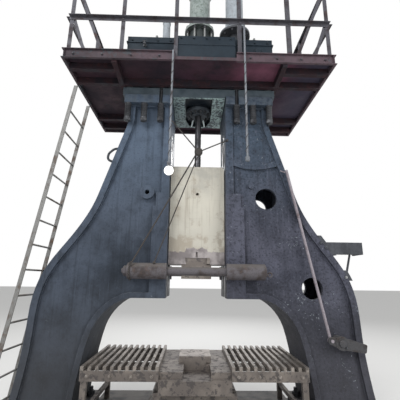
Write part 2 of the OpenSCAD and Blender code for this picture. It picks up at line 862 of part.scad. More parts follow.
// Tank with its seam lip, and in front of it the bay that reaches between the railing posts.
module oil_tank() {
    color(slate) {
        difference() {
            union() {
                box(-tank_half_x, tank_half_x, -tank_half_y, tank_half_y, deck_top, tank_z1 - 90);
                box(-tank_half_x - 12, tank_half_x + 12, -tank_half_y - 12, tank_half_y + 12,
                    tank_z1 - 91, tank_z1 - 75);
                box(-tank_half_x, tank_half_x, -tank_half_y, tank_half_y, tank_z1 - 76, tank_z1);
            }
            translate([0, 0, deck_top - eps])
                cylinder(h = tank_h + 2 * eps, d = cyl_dia + 2 * touch);
        }
        difference() {
            union() {
                box(bay_x0 + 30, bay_x1 - 10, bay_y + 6, -tank_half_y - touch, deck_top,
                    tank_z1 - 20);
                box(bay_x0 + 22, bay_x1 - 2, bay_y, -tank_half_y - touch, tank_z1 - 151,
                    tank_z1 - 137);
            }
            box(-tank_half_x, tank_half_x, -tank_half_y - 12 - touch, -tank_half_y,
                tank_z1 - 91 - touch, tank_z1 - 75 + touch);
        }
    }
}

module accumulator() {
    r = acc_dia / 2;
    color(silver)
        translate([acc_x, acc_y, tank_z1])
            rotate_extrude()
                polygon([[0, 0], [r + 20, 0], [r + 20, 30], [r - 40, 36], [r - 40, 750],
                    [r + 100, 750], [r + 100, 794], [r - 20, 800], [r - 20, 900], [r + 6, 904],
                    [r + 6, 1000], [r, 1006], [r, 1480], [r - 8, 1515], [r - 30, 1540],
                    [r - 80, 1556], [0, 1560]]);
}

module filter_canister() {
    color(silver)
        translate([filter_x, acc_y, tank_z1])
            rotate_extrude()
                polygon([[0, 0], [85, 0], [85, 24], [58, 26], [58, 960], [64, 964], [64, 1016],
                    [56, 1026], [30, 1030], [30, 1050], [0, 1050]]);
}

module platform_deck() {
    color(oxide)
        difference() {
            box(-plat_x, plat_x, plat_y0, plat_y1, deck_z, deck_top);
            translate([0, 0, deck_z - eps])
                cylinder(h = plat_t + 2 * eps, d = cyl_dia + 2 * touch);
        }
}

module platform_joists() {
    z0 = deck_z - joist_h;
    out0 = beam_x + beam_w + touch;
    out1 = plat_x - touch;
    color(brown)
        for (s = [-1, 1]) {
            box(s < 0 ? -beam_x - beam_w : beam_x, s < 0 ? -beam_x : beam_x + beam_w,
                plat_y0 + touch, plat_y1 - touch, z0, deck_z);
            box(-beam_x + touch, beam_x - touch, s < 0 ? -joist_y - beam_w : joist_y,
                s < 0 ? -joist_y : joist_y + beam_w, z0, deck_z);
            for (y = [plat_y0 + 150, -joist_y - beam_w, joist_y, plat_y1 - 210])
                box(s < 0 ? -out1 : out0, s < 0 ? -out0 : out1, y, y + beam_w, z0, deck_z);
        }
}

module edge_profile() {
    polygon([[0, 0], [edge_out, 0], [edge_out, edge_t], [edge_t, edge_t], [edge_t, edge_h - edge_t],
        [edge_out, edge_h - edge_t], [edge_out, edge_h], [0, edge_h]]);
}

// Edge channel laid along +X with its web on the plate's edge and its flanges outward.
module edge_x(x0, x1, y) {
    translate([x0, y, deck_z - 60])
        rotate([90, 0, 90])
            linear_extrude(height = x1 - x0)
                mirror([1, 0])
                    edge_profile();
}

module edge_y(x, y0, y1) {
    translate([x, y1, deck_z - 60])
        rotate([90, 0, 0])
            linear_extrude(height = y1 - y0)
                edge_profile();
}

module platform_edge() {
    color(oxide)
        union() {
            edge_x(-plat_x, bay_x0, plat_y0);
            edge_x(bay_x1, plat_x, plat_y0);
            box(bay_x0 + touch, bay_x1 - touch, plat_y0 - edge_t, plat_y0, deck_z - 36, deck_top);
            translate([0, 2 * plat_y1, 0])
                mirror([0, 1, 0])
                    edge_x(-plat_x, plat_x, plat_y1);
            edge_y(plat_x + touch, plat_y0 - edge_out, plat_y1 + edge_out);
            mirror([1, 0, 0])
                edge_y(plat_x + touch, plat_y0 - edge_out, plat_y1 + edge_out);
        }
}

module angle_post(x, y, h, sx, sy) {
    translate([x, y, deck_top])
        linear_extrude(height = h)
            polygon([[0, 0], [sx * angle_w, 0], [sx * angle_w, sy * angle_t],
                [sx * angle_t, sy * angle_t], [sx * angle_t, sy * angle_w], [0, sy * angle_w]]);
}

// Rails have their upright leg outside the posts; the top rail lies on the post ends and the
// middle rail turns its other leg outward.
module rail_x(z, top) {
    k = top ? 1 : -1;
    translate([-plat_x, plat_y0 + (top ? 0 : angle_t), z])
        rotate([90, 0, 90])
            linear_extrude(height = 2 * plat_x)
                polygon([[0, 0], [k * angle_t, 0], [k * angle_t, angle_w - angle_t],
                    [k * angle_w, angle_w - angle_t], [k * angle_w, angle_w], [0, angle_w]]);
}

module rail_y(z, top) {
    k = top ? 1 : -1;
    y0 = plat_y0 + (top ? angle_w : angle_t) + touch;
    y1 = plat_y1 - (top ? angle_w : angle_t) - touch;
    translate([-plat_x + (top ? 0 : angle_t), y1, z])
        rotate([90, 0, 0])
            linear_extrude(height = y1 - y0)
                polygon([[0, 0], [k * angle_t, 0], [k * angle_t, angle_w - angle_t],
                    [k * angle_w, angle_w - angle_t], [k * angle_w, angle_w], [0, angle_w]]);
}

// Flat diagonal behind the posts, cut level with the deck and below the top rail.
module diagonal(xa, za, xb, zb, w) {
    y = plat_y0 + post_in + angle_t + touch;
    intersection() {
        upright(y, y + angle_t)
            polygon([[xa, za], [xb, zb], [xb + w, zb], [xa + w, za]]);
        box(-plat_x, plat_x, y - 1, y + angle_t + 1, deck_top, deck_top + post_h);
    }
}

module long_railing() {
    mid = deck_top + rail_h / 2;
    corner = plat_x - post_in;
    union() {
        for (x = [-post_a, -post_b, post_c, post_d])
            angle_post(x, plat_y0 + post_in, post_h, 1, 1);
        angle_post(-corner, plat_y0 + post_in, post_h, 1, 1);
        angle_post(corner, plat_y0 + post_in, post_h, -1, 1);
        rail_x(deck_top + rail_h - angle_w, true);
        rail_x(mid - angle_w, false);
        for (s = [0, 1])
            mirror([s, 0, 0]) {
                diagonal(corner - 50, deck_top + post_h - 10, corner - 470, deck_top, 42);
                diagonal(corner - 50, mid + 30, corner - 250, deck_top, 42);
            }
    }
}

module front_railing() {
    color(brown)
        long_railing();
}

module rear_railing() {
    color(brown)
        translate([0, plat_y0 + plat_y1, 0])
            mirror([0, 1, 0])
                long_railing();
}

module side_railing() {
    color(brown)
        union() {
            angle_post(-plat_x + post_in, 0, post_h, 1, 1);
            rail_y(deck_top + rail_h - angle_w, true);
            rail_y(deck_top + rail_h / 2 - angle_w, false);
        }
}

module left_railing() {
    side_railing();
}

module right_railing() {
    mirror([1, 0, 0])
        side_railing();
}

module ladder() {
    top_z = deck_z - 60 + edge_t;
    half_w = 25 / cos(atan2(ladder_lean, top_z));
    top_x = -plat_x - touch - edge_out - touch - half_w;
    foot = top_x - ladder_lean;
    n = floor((top_z - 100) / rung_pitch);
    color(silver)
        union() {
            for (y = [-ladder_w / 2, ladder_w / 2 - 12])
                upright(ladder_y + y, ladder_y + y + 12)
                    polygon([[foot - half_w, 0], [foot + half_w, 0], [top_x + half_w, top_z],
                        [top_x - half_w, top_z]]);
            for (i = [0 : n - 1])
                rod_y(foot + ladder_lean * (rung_z0 + i * rung_pitch) / top_z,
                    ladder_y - ladder_w / 2 + 12 + touch, ladder_y + ladder_w / 2 - 12 - touch,
                    rung_z0 + i * rung_pitch, 24);
        }
}

module left_lamp_pole() {
    color(brown)
        translate([-post_b, fit_y, 0])
            rotate_extrude()
                polygon([[0, lamp_z], [19, lamp_z], [23, lamp_z + 12], [23, lamp_z + 52],
                    [pole_dia / 2, lamp_z + 60], [pole_dia / 2, deck_z + 60],
                    [0, deck_z + 60]]);
}

module lamp_bulb() {
    color([1, 0.98, 0.9])
        translate([-post_b, fit_y, lamp_z - bulb_dia / 2 - touch])
            sphere(d = bulb_dia);
}

module right_lamp_pole() {
    color(brown)
        translate([post_c + 75, fit_y, 0])
            rotate_extrude()
                polygon([[0, pole_z], [20, pole_z], [25, pole_z + 10], [25, pole_z + 52],
                    [pole_dia / 2, pole_z + 60], [pole_dia / 2, deck_z + 450],
                    [0, deck_z + 450]]);
}

// Pad welded on the outer edge of the right frame, following its curve.
module edge_pad(z0, z1, over, y1) {
    difference() {
        translate([over, 0, 0])
            upright(arm_y, y1)
                polygon(outline);
        translate([touch, 0, 0])
            upright(arm_y - 1, y1 + 1)
                polygon(outline);
        box(0, 3000, arm_y - 1, y1 + 1, 0, z0);
        box(0, 3000, arm_y - 1, y1 + 1, z1, frame_top + 1);
    }
}

// Channel on a pad, with its web in front and a plate on its end.
module side_arm() {
    color(iron)
        union() {
            edge_pad(arm_z - 12, arm_z + arm_h + 84, 55, arm_y + 190);
            difference() {
                translate([1560, arm_y, arm_z])
                    rotate([90, 0, 90])
                        linear_extrude(height = arm_x - 1560)
                            polygon([[0, 0], [60, 0], [60, 10], [12, 16], [12, arm_h - 16],
                                [60, arm_h - 10], [60, arm_h], [0, arm_h]]);
                translate([touch, 0, 0])
                    upright(arm_y - 1, arm_y + 61)
                        polygon(outline);
            }
            box(arm_x - 26, arm_x, arm_y, arm_y + 240, arm_z, arm_z + arm_h);
        }
}

module side_arm_brace() {
    y = arm_y + 30;
    color(iron)
        union() {
            rod_between([brace_top, y, arm_z - 13 * sin(brace_tilt) - touch],
                [brace_top - brace_x, y, arm_z - brace_h], 26);
            edge_pad(arm_z - 320, arm_z - 195, 48, arm_y + 60);
        }
}

// Round bracket on the web that carries the lever's pin, with the nut in front.
module lever_bracket() {
    face = half_d - rim_proud;
    color(iron)
        union() {
            rod_y(pivot_x, -face - 32, -face, pivot_z, hub_dia - 10);
            rod_y(pivot_x, -lever_y + 6.5, -face - 31, pivot_z, 90);
            rod_y(pivot_x, -lever_y - 50, -lever_y + 7, pivot_z, pin_dia);
            rod_y(pivot_x, -lever_y - 50, -lever_y - 30.5, pivot_z, pin_dia + 36);
        }
}

// Flat lever with a round hub, tapered from the hub to its end and rounded at the link.
module control_lever() {
    half = lever_h / 2;
    hub = hub_dia / 2;
    color(steel)
        difference() {
            union() {
                translate([pivot_x, -lever_y, pivot_z])
                    rotate([90, lever_tilt, 0])
                        linear_extrude(height = 24)
                            union() {
                                polygon([[0, -hub + 8], [lever_l - 12, -half], [lever_l, -half + 12],
                                    [lever_l, half - 12], [lever_l - 12, half], [0, hub - 8],
                                    [-link_r, 42], [-link_r, -42]]);
                                translate([-link_r, 0])
                                    circle(d = 84);
                            }
                rod_y(pivot_x, -lever_y - 30, -lever_y + 6, pivot_z, hub_dia);
            }
            rod_y(pivot_x, -lever_y - 31, -lever_y + 7, pivot_z, pin_dia + 2 * run_gap);
            rod_y(link_x, -lever_y - 31, -lever_y + 7, link_z, link_pin + 2 * run_gap);
        }
}

module control_rod() {
    color(steel)
        union() {
            rod_between([link_x, -rod_y0 - 17, link_z], [rod_top_x, -rod_y0 - 17, rod_top_z],
                control_dia);
            rod_y(link_x, -lever_y + 0.5, -rod_y0, link_z, 62);
            rod_y(link_x, -eye_front - 10, -lever_y + 1, link_z, link_pin);
            rod_y(link_x, -eye_front - 10, -eye_front, link_z, 38);
        }
}

// Two taut strands from the knot down to the left sleeve, and two up to their ties.
module hauling_rope() {
    ring_r = sleeve_dia / 2 + touch + 9;
    lay_r = sleeve_dia / 2 + touch + 15;
    knot_y = -half_d - 25;
    low = [-tie_x, -stretch_y - ring_r * cos(25), stretch_z + ring_r * sin(25)];
    knot_a = [-9, knot_y, knot_z];
    lay = [-503, -stretch_y - lay_r * cos(60), stretch_z + lay_r * sin(60)];
    color([0.16, 0.14, 0.13])
        union() {
            translate([-tie_x, -stretch_y, stretch_z])
                rotate([0, 90, 0])
                    rotate_extrude()
                        translate([ring_r, 0])
                            circle(d = 18);
            rod_between(low + unit2(knot_a - low) * (9 + 2 * touch), knot_a, 18);
            rod_between(lay, [19, knot_y, knot_z], 14);
            rod_x(lay[0] - 15, lay[0] + 15, lay[1], lay[2], 30);
            rod_y(5, knot_y - 22, knot_y + 22, knot_z, 80);
            rod_between([5, knot_y, knot_z], [-gap_half - 22, -half_d - touch - 13, tie_z1], 16);
            rod_y(-gap_half - 22, -half_d - touch - 26, -half_d - touch, tie_z1, 28);
            rod_between([5, knot_y, knot_z], [gap_half + 20, -half_d - touch - 13, tie_z2], 16);
            rod_y(gap_half + 20, -half_d - touch - 26, -half_d - touch, tie_z2, 28);
        }
}

bed_plate();
anvil_packing();
left_frame();
right_frame();
left_guide();
right_guide();
front_stretcher();
rear_stretcher();
cylinder_base();
gland();
left_holding_bolts();
right_holding_bolts();
cylinder_barrel();  // cylinder
cylinder_head();
cylinder_studs();
oil_tank();
accumulator();
filter_canister();
platform_deck();
platform_joists();
platform_edge();
front_railing();
left_railing();
right_railing();
rear_railing();
ladder();
left_lamp_pole();
lamp_bulb();
right_lamp_pole();
anvil();
anvil_cap();
lower_die();
lower_die_key();
left_work_table();
left_table_bars();
right_work_table();
right_table_bars();
side_arm();
side_arm_brace();
lever_bracket();
ram();
upper_die();
upper_die_key();
piston_rod();
piston();
control_lever();
control_rod();
hauling_rope();
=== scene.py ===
# %% [markdown]
# # An arch type forging hammer
#
# The machine stands on two hollow cast frames that lean together over an anvil.
# A ram slides between them on V guides and hangs on a piston rod from a tall cylinder.
# The solids come packed, at their true size and place; this lesson dresses them.
# Each step gives one finish or one kind of small part, and says why it is made that way.

# %% Load the frame
from math import cos, pi, radians, sin, tau

import bmesh
import bpy
from mathutils import Euler, Matrix, Vector


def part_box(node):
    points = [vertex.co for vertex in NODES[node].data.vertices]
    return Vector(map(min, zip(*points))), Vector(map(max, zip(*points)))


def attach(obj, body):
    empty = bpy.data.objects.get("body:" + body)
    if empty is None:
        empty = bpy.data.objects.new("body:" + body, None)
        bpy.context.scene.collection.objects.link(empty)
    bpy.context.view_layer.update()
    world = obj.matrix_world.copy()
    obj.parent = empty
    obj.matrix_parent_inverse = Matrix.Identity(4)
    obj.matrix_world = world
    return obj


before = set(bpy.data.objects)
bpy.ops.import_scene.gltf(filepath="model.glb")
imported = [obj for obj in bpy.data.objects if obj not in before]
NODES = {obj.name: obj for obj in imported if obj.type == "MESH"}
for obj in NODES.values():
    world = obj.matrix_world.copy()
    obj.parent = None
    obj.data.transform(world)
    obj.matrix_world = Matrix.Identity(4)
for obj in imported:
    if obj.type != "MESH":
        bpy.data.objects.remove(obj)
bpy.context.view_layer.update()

# %% [markdown]
# The camera comes first, because every later choice is judged through it.
# The picture was taken from eye height close to the machine, tilted up by fourteen
# degrees with a wide lens, so that the legs spread and the platform is seen from below.
# The camera was not held quite level, so it also rolls by a little about its own axis.

# %% Camera
LEVEL, TILT_UP, TURN, ROLL = 90, 14, -1.27, 0.7


def add_object(name, data):
    obj = bpy.data.objects.new(name, data)
    bpy.context.scene.collection.objects.link(obj)
    return obj


lens = bpy.data.cameras.new("eye_height_camera")
lens.lens = 28.8
lens.sensor_width = 36.0
camera = add_object("eye_height_camera", lens)
camera.location = (-0.056, -4.375, 1.65)
aim = Euler((radians(LEVEL + TILT_UP), 0, radians(TURN))).to_matrix()
camera.rotation_euler = (aim @ Matrix.Rotation(radians(ROLL), 3, "Z")).to_euler()
bpy.context.scene.camera = camera
print("camera at", tuple(round(v, 3) for v in camera.location))

# %% [markdown]
# ## Node trees written as expressions
#
# A finish is a small sum: soot times a mask, plus dust times another mask. As separate
# nodes it takes a page, so a wire gets plus, minus and times, and one method places
# every other node.

# %% Wires and graphs
class Wire:
    """An output socket that can be added, subtracted and multiplied."""

    def __init__(self, graph, socket):
        self.graph = graph
        self.socket = socket

    def sum_of(self, operation, first, second):
        return self.graph.node("ShaderNodeMath", {"operation": operation}, {0: first, 1: second})

    def __add__(self, other):
        return self.sum_of("ADD", self, other)

    def __radd__(self, other):
        return self.sum_of("ADD", other, self)

    def __sub__(self, other):
        return self.sum_of("SUBTRACT", self, other)

    def __rsub__(self, other):
        return self.sum_of("SUBTRACT", other, self)

    def __mul__(self, other):
        return self.sum_of("MULTIPLY", self, other)

    def __rmul__(self, other):
        return self.sum_of("MULTIPLY", other, self)


class Graph:
    """One node tree, of a finish or of a geometry pattern."""

    def __init__(self, tree):
        self.tree = tree

    def node(self, kind, settings=None, inputs=None, output=0):
        made = self.tree.nodes.new(kind)
        for key, value in (settings or {}).items():
            setattr(made, key, value)
        for key, value in (inputs or {}).items():
            if isinstance(value, Wire):
                self.tree.links.new(value.socket, made.inputs[key])
            else:
                made.inputs[key].default_value = value
        return Wire(self, made.outputs[output]) if len(made.outputs) else made

    def other(self, wire, output):
        return Wire(self, wire.socket.node.outputs[output])


print("wire operators:", [n for n in vars(Wire) if n[-5:] in ("add__", "sub__", "mul__")])

# %% [markdown]
# The tools of a painter come next: clouds of noise, soft thresholds, a mix of two
# colours, streaks that run down, and a mask that finds the edges of a casting. Coats are
# listed from the ground up, each with its mask. The edge mask compares the true normal
# with the one of a rounded edge, so it needs no fine mesh.

# %% Painter's tools
class Finish(Graph):
    """A surface built up from masks on object coordinates."""

    def __init__(self, name):
        self.material = bpy.data.materials.new(name)
        self.material.use_nodes = True
        super().__init__(self.material.node_tree)
        self.tree.nodes.clear()
        self.place = self.node("ShaderNodeTexCoord", output="Object")
        split = self.node("ShaderNodeSeparateXYZ", inputs={0: self.place})
        self.x, self.y, self.z = split, self.other(split, 1), self.other(split, 2)
        facing = self.node("ShaderNodeNewGeometry", output="Normal")
        tilt = self.node("ShaderNodeSeparateXYZ", inputs={0: facing}, output=2)
        self.normal = facing
        self.up = self.band(tilt, 0.25, 0.9)
        self.down = self.band(tilt, -0.2, -0.9)

    def band(self, value, low, high):
        return self.node("ShaderNodeMapRange", {"interpolation_type": "SMOOTHSTEP"}, {
            0: value, 1: low, 2: high, 3: 0.0, 4: 1.0})

    def above(self, value, level, soft=0.005):
        return self.band(value, level - soft, level + soft)

    def below(self, value, level, soft=0.005):
        return self.band(value, level + soft, level - soft)

    def size_of(self, value):
        return self.node("ShaderNodeMath", {"operation": "ABSOLUTE"}, {0: value})

    def stretch(self, x, y, z):
        return self.node("ShaderNodeVectorMath", {"operation": "MULTIPLY"}, {
            0: self.place, 1: (x, y, z)})

    def clouds(self, scale, detail=4.0, rough=0.55, where=None):
        return self.node("ShaderNodeTexNoise", {"noise_dimensions": "3D"}, {
            "Vector": where or self.place, "Scale": scale, "Detail": detail, "Roughness": rough})

    def blots(self, low, high, *cloud):
        return self.band(self.clouds(*cloud), low, high)

    def streaks(self, low, high, detail, rough, stretch):
        return self.blots(low, high, 1, detail, rough, self.stretch(*stretch))

    def mix(self, mask, first, second):
        def full(c):
            return c if isinstance(c, Wire) else (*c, 1.0)
        return self.node("ShaderNodeMix", {"data_type": "RGBA"}, {
            0: mask, 6: full(first), 7: full(second)}, output=2)

    def layers(self, base, coats):
        for mask, coat in coats:
            base = self.mix(mask, base, coat)
        return base

    def rounded(self, radius):
        return self.node("ShaderNodeBevel", {"samples": 4}, {"Radius": radius})

    def edges(self, bevel, low=0.985, high=0.9):
        dot = self.node("ShaderNodeVectorMath", {"operation": "DOT_PRODUCT"}, {
            0: bevel, 1: self.normal}, output="Value")
        return self.band(dot, low, high)

    def bump(self, height, strength, distance, normal=None):
        inputs = {"Height": height, "Strength": strength, "Distance": distance}
        if normal:
            inputs["Normal"] = normal
        return self.node("ShaderNodeBump", {}, inputs)

    def surface(self, colour, rough, normal=None, metallic=0.0, **steady):
        inputs = {"Base Color": colour if isinstance(colour, Wire) else (*colour, 1.0),
                  "Roughness": rough, "Metallic": metallic, "Specular IOR Level": 0.25}
        inputs.update(steady)
        if normal:
            inputs["Normal"] = normal
        shader = self.node("ShaderNodeBsdfPrincipled", {}, inputs)
        self.node("ShaderNodeOutputMaterial", {}, {"Surface": shader})
        return self.material


print("painter's tools:", [n for n in vars(Finish) if not n.startswith("_")])

# %% [markdown]
# ## Sooty castings
#
# The frames were cast in sand, painted once and have stood in smoke ever since. Sand
# leaves knobs a few centimetres wide, deeper on the right frame than on the left. Soot
# lies in clouds and runs down in streaks, dust lies where a face looks up, and paint
# has come off in small pale flecks. High up the slate is painted lighter and bluer, as a
# painted glow of the lamps; near the floor it is browner.

# %% Sooty cast iron
PAD_X, PAD_TOP, FLANGE_Z = 0.602, 2.74, 3.979


def scaled(colour, factor):
    return tuple(v * factor for v in colour)


def sooty_casting(name, ground, pale, high, brown, knobs, fleck_from, relief):
    f = Finish(name)
    bevel = f.rounded(0.008)
    knob = f.clouds(36, 4, 0.62)
    drift = f.blots(0.36, 0.66, 1.2, 4, 0.6)
    patch = f.blots(0.44, 0.7, 5.5, 5, 0.62)
    runs = f.streaks(0.5, 0.68, 5, 0.6, (18, 18, 0.8))
    drips = f.streaks(0.6, 0.7, 3, 0.6, (55, 55, 1.8))
    flecks = f.band(f.clouds(34, 5, 0.7) + f.clouds(2.6, 3) * 0.45, fleck_from, fleck_from + 0.04)
    aside = f.size_of(f.x)
    pad = f.below(aside, PAD_X, 0.004) * f.below(f.z, PAD_TOP) * f.band(f.z, 1.4, 1.75)
    flange = f.above(f.z, FLANGE_Z) * f.blots(0.38, 0.62, 13)
    worn = f.edges(bevel) * f.blots(0.36, 0.58, 14)
    colour = f.layers(ground, [
        (drift, pale),
        # Painted glow of the lamps: from 2.1 m up the frame is painted lighter and bluer.
        (f.band(f.z, 2.1, 3.7) * 0.8, high),
        (pad * 0.5, scaled(pale, 1.15)),
        (patch * 0.35, scaled(ground, 0.5)),
        (f.band(knob, 0.48, 0.36) * knobs, scaled(ground, 0.35)),
        (f.band(knob, 0.56, 0.72) * knobs, scaled(pale, 1.35)),
        (runs * 0.35, scaled(ground, 0.5)),
        (drips * 0.22, scaled(pale, 1.5)),
        (f.band(f.z, 1.9, 0.4) * 0.6, brown),
        (flange * 0.55, (0.115, 0.14, 0.165)),
        (f.up * f.blots(0.3, 0.6, 5, 5) * 0.7, (0.17, 0.16, 0.15)),
        (flecks * 0.75, (0.26, 0.29, 0.32)),
        (worn * 0.5, (0.19, 0.21, 0.24))])
    rough = 0.56 + 0.26 * f.clouds(9) - worn * 0.12
    height = knob + f.clouds(130, 3, 0.65) * 0.22 + flecks * 0.12
    return f.surface(colour, rough, f.bump(height, 0.8, relief, bevel), **{"Specular IOR Level": 0.22})


# The fourth colour of each casting is the painted lamp glow on its upper part.
SLATE_IRON = sooty_casting(
    "sooty_slate_casting", (0.022, 0.029, 0.041), (0.062, 0.078, 0.108), (0.1, 0.138, 0.198),
    (0.046, 0.045, 0.045), knobs=0.22, fleck_from=0.97, relief=0.0022)
RIGHT_IRON = sooty_casting(
    "knobbly_slate_casting", (0.034, 0.037, 0.053), (0.086, 0.09, 0.122), (0.053, 0.08, 0.116),
    (0.048, 0.047, 0.051), knobs=0.6, fleck_from=0.885, relief=0.008)
DARK_IRON = sooty_casting(
    "black_soot_casting", (0.045, 0.048, 0.056), (0.088, 0.094, 0.108), (0.05, 0.055, 0.064),
    (0.07, 0.066, 0.064), knobs=0.25, fleck_from=0.97, relief=0.002)
print("castings:", SLATE_IRON.name, RIGHT_IRON.name, DARK_IRON.name)

# %% [markdown]
# ## Chipped paint
#
# The block under the platform, the tank and the cylinder are painted steel. One recipe
# serves them all: a top coat, an older coat that shows in ragged chips, rust at the
# chips' rims, and soot that settles from above. The chips are sharp thresholds on the
# sum of a coarse and a fine noise. What one casting alone shows, such as the flaking
# strips, the painted black shade in the hollow under the cylinder base and the painted
# shadow on the cylinder's foot, is added by a last step.

# %% Chipped paint
BASE_LOW, HOLLOW_X, HOLLOW_Y = 4.078, 0.19, 0.42
BARREL_FOOT, BARREL_RIM, BOTTLE_NECK = 5.49, 5.535, 5.433


def chipped_paint(name, coat, under, rust, soot, soot_colour, chips=0.6, shine=0.42,
                  rust_run=0.35, scale=9.0, radius=0.005, last=None):
    f = Finish(name)
    bevel = f.rounded(radius)
    ragged = f.clouds(scale, 8, 0.72) + f.clouds(scale * 7, 4, 0.6) * 0.16
    chip = f.band(ragged, chips + 0.07, chips + 0.095)
    rim = f.band(ragged, chips + 0.04, chips + 0.07) * (1 - chip)
    run = f.streaks(0.54, 0.74, 5, 0.6, (30, 30, 1.4))
    film = f.blots(0.36, 0.68, 2.4, 6, 0.62)
    worn = f.edges(bevel) * f.blots(0.4, 0.6, 22)
    tone = f.blots(0.3, 0.7, 18, 3)
    colour = f.layers(coat, [
        (tone, scaled(coat, 0.82)),
        (chip, under),
        (rim * 0.8, rust),
        (run * rust_run, rust),
        (film * soot, soot_colour),
        (f.up * 0.55 * film, (0.19, 0.175, 0.16)),
        (worn * 0.55, under)])
    if last:
        colour = last(f, colour, worn)
    rough = shine + film * 0.28 + rim * 0.15
    height = ragged * 0.35 - chip * 0.8 + f.clouds(160, 2) * 0.12
    return f.surface(colour, rough, f.bump(height, 0.5, 0.0014, bevel))


def base_underside(f, colour, worn):
    aside = f.size_of(f.x)
    under = f.below(f.z, BASE_LOW, 0.001) * f.down
    flake = f.band(f.clouds(30, 6, 0.72) + f.clouds(5, 3) * 0.35, 0.64, 0.7)
    side = 0.6 + 0.4 * f.band(f.x, -0.1, 0.1)
    inside = f.below(aside, HOLLOW_X, 0.002) * f.below(f.size_of(f.y), HOLLOW_Y, 0.004)
    # Painted shade: the hollow under the cylinder base is painted near black.
    hollow = inside * f.above(f.z, BASE_LOW + 0.002, 0.002)
    rib = f.band(aside, 0.13, 0.12) * f.band(f.y, 0.08, 0.1) * f.band(f.y, 0.425, 0.415) * under
    edge = f.band(f.z, 4.215, 4.205) * worn
    wash = f.band(f.z, 4.22, 4.2) * f.above(f.z, BASE_LOW + 0.002, 0.001)
    wash = wash * f.blots(0.38, 0.6, 9, 5)
    colour = f.layers(colour, [
        (wash * 0.5, (0.115, 0.145, 0.172)),
        (under * flake * side, (0.42, 0.56, 0.56)),
        (hollow * 0.94, (0.012, 0.017, 0.025)),
        (edge * (1 - hollow * 0.6) * 0.7, (0.3, 0.38, 0.39))])
    return f.mix(rib, colour, (0.62, 0.72, 0.74))


def soffit_colours(f, colour, worn):
    blot = f.blots(0.42, 0.6, 2.1, 5, 0.62)
    middle = f.band(f.x, -0.45, -0.1) * blot
    right = f.band(f.x, 0.3, 0.62) * f.band(f.x, 1.45, 0.95) * f.band(f.y, -0.3, -0.75)
    far = f.band(f.x, 0.95, 1.5)
    colour = f.mix(middle * 0.6, colour, (0.075, 0.032, 0.052))
    colour = f.mix(far * 0.75, colour, (0.052, 0.05, 0.08))
    return f.mix(right * (0.55 + 0.45 * blot), colour, (0.19, 0.072, 0.11))


def edge_colours(f, colour, worn):
    rubbed = f.band(f.x, -0.85, -0.7) * f.band(f.x, -0.2, -0.3) + f.band(f.x, 0.42, 0.46)
    ragged = f.blots(0.34, 0.52, 8, 5, 0.65)
    return f.mix(rubbed * ragged * 0.75, colour, (0.105, 0.072, 0.087))


def barrel_shadow_and_wear(f, colour, worn):
    # Painted shadow: below the flange the barrel is painted nearly black; the rim below gets real edge
    # wear.
    foot = f.below(f.z, BARREL_FOOT, 0.002)
    colour = f.mix(foot * 0.9, colour, (0.022, 0.027, 0.03))
    rim = f.below(f.z, BARREL_RIM) * worn
    return f.mix(rim, colour, (0.62, 0.66, 0.64))


def bottle_neck(f, colour, worn):
    neck = f.band(f.x, 0.2, 0.25) * f.below(f.z, BOTTLE_NECK, 0.003)
    return f.mix(neck * 0.9 * (1 - worn * 0.8), colour, (0.03, 0.03, 0.036))


BASE_PAINT = chipped_paint(
    "grey_green_base_paint", (0.085, 0.112, 0.13), (0.3, 0.37, 0.37), (0.05, 0.046, 0.048),
    chips=0.64, soot=0.7, soot_colour=(0.04, 0.056, 0.074), last=base_underside)
TANK_PAINT = chipped_paint(
    "slate_tank_paint", (0.015, 0.026, 0.038), (0.075, 0.09, 0.105), (0.026, 0.026, 0.032),
    chips=0.71, soot=0.45, soot_colour=(0.009, 0.014, 0.021), shine=0.5)
SILVER_PAINT = chipped_paint(
    "silver_green_paint", (0.33, 0.38, 0.365), (0.165, 0.205, 0.19), (0.2, 0.22, 0.2),
    chips=0.55, soot=0.55, soot_colour=(0.15, 0.19, 0.18), shine=0.34, rust_run=0.3, scale=24.0,
    radius=0.003, last=barrel_shadow_and_wear)
PALE_SILVER = chipped_paint(
    "pale_silver_paint", (0.4, 0.445, 0.485), (0.24, 0.26, 0.28), (0.23, 0.22, 0.23),
    soot=0.32, soot_colour=(0.19, 0.2, 0.23), shine=0.32, rust_run=0.25, scale=22.0, radius=0.003,
    last=bottle_neck)
OXIDE_PAINT = chipped_paint(
    "red_oxide_paint", (0.05, 0.026, 0.036), (0.03, 0.027, 0.034), (0.045, 0.022, 0.024),
    soot=0.8, soot_colour=(0.017, 0.015, 0.022), shine=0.55, scale=4.0,
    last=soffit_colours)
EDGE_PAINT = chipped_paint(
    "red_edge_paint", (0.072, 0.052, 0.062), (0.06, 0.066, 0.078), (0.075, 0.036, 0.034),
    chips=0.54, soot=0.55, soot_colour=(0.048, 0.047, 0.056), shine=0.55, rust_run=0.3, scale=7.0,
    last=edge_colours)
print("paints:", BASE_PAINT.name, TANK_PAINT.name, SILVER_PAINT.name, OXIDE_PAINT.name)

# %% [markdown]
# ## Rusted angle iron
#
# Railings, joists, poles and the ladder are rolled sections that nobody repainted. Rust
# comes in two scales, broad brown clouds and small orange pits, and the places that
# hands and boots touch are rubbed to grey.

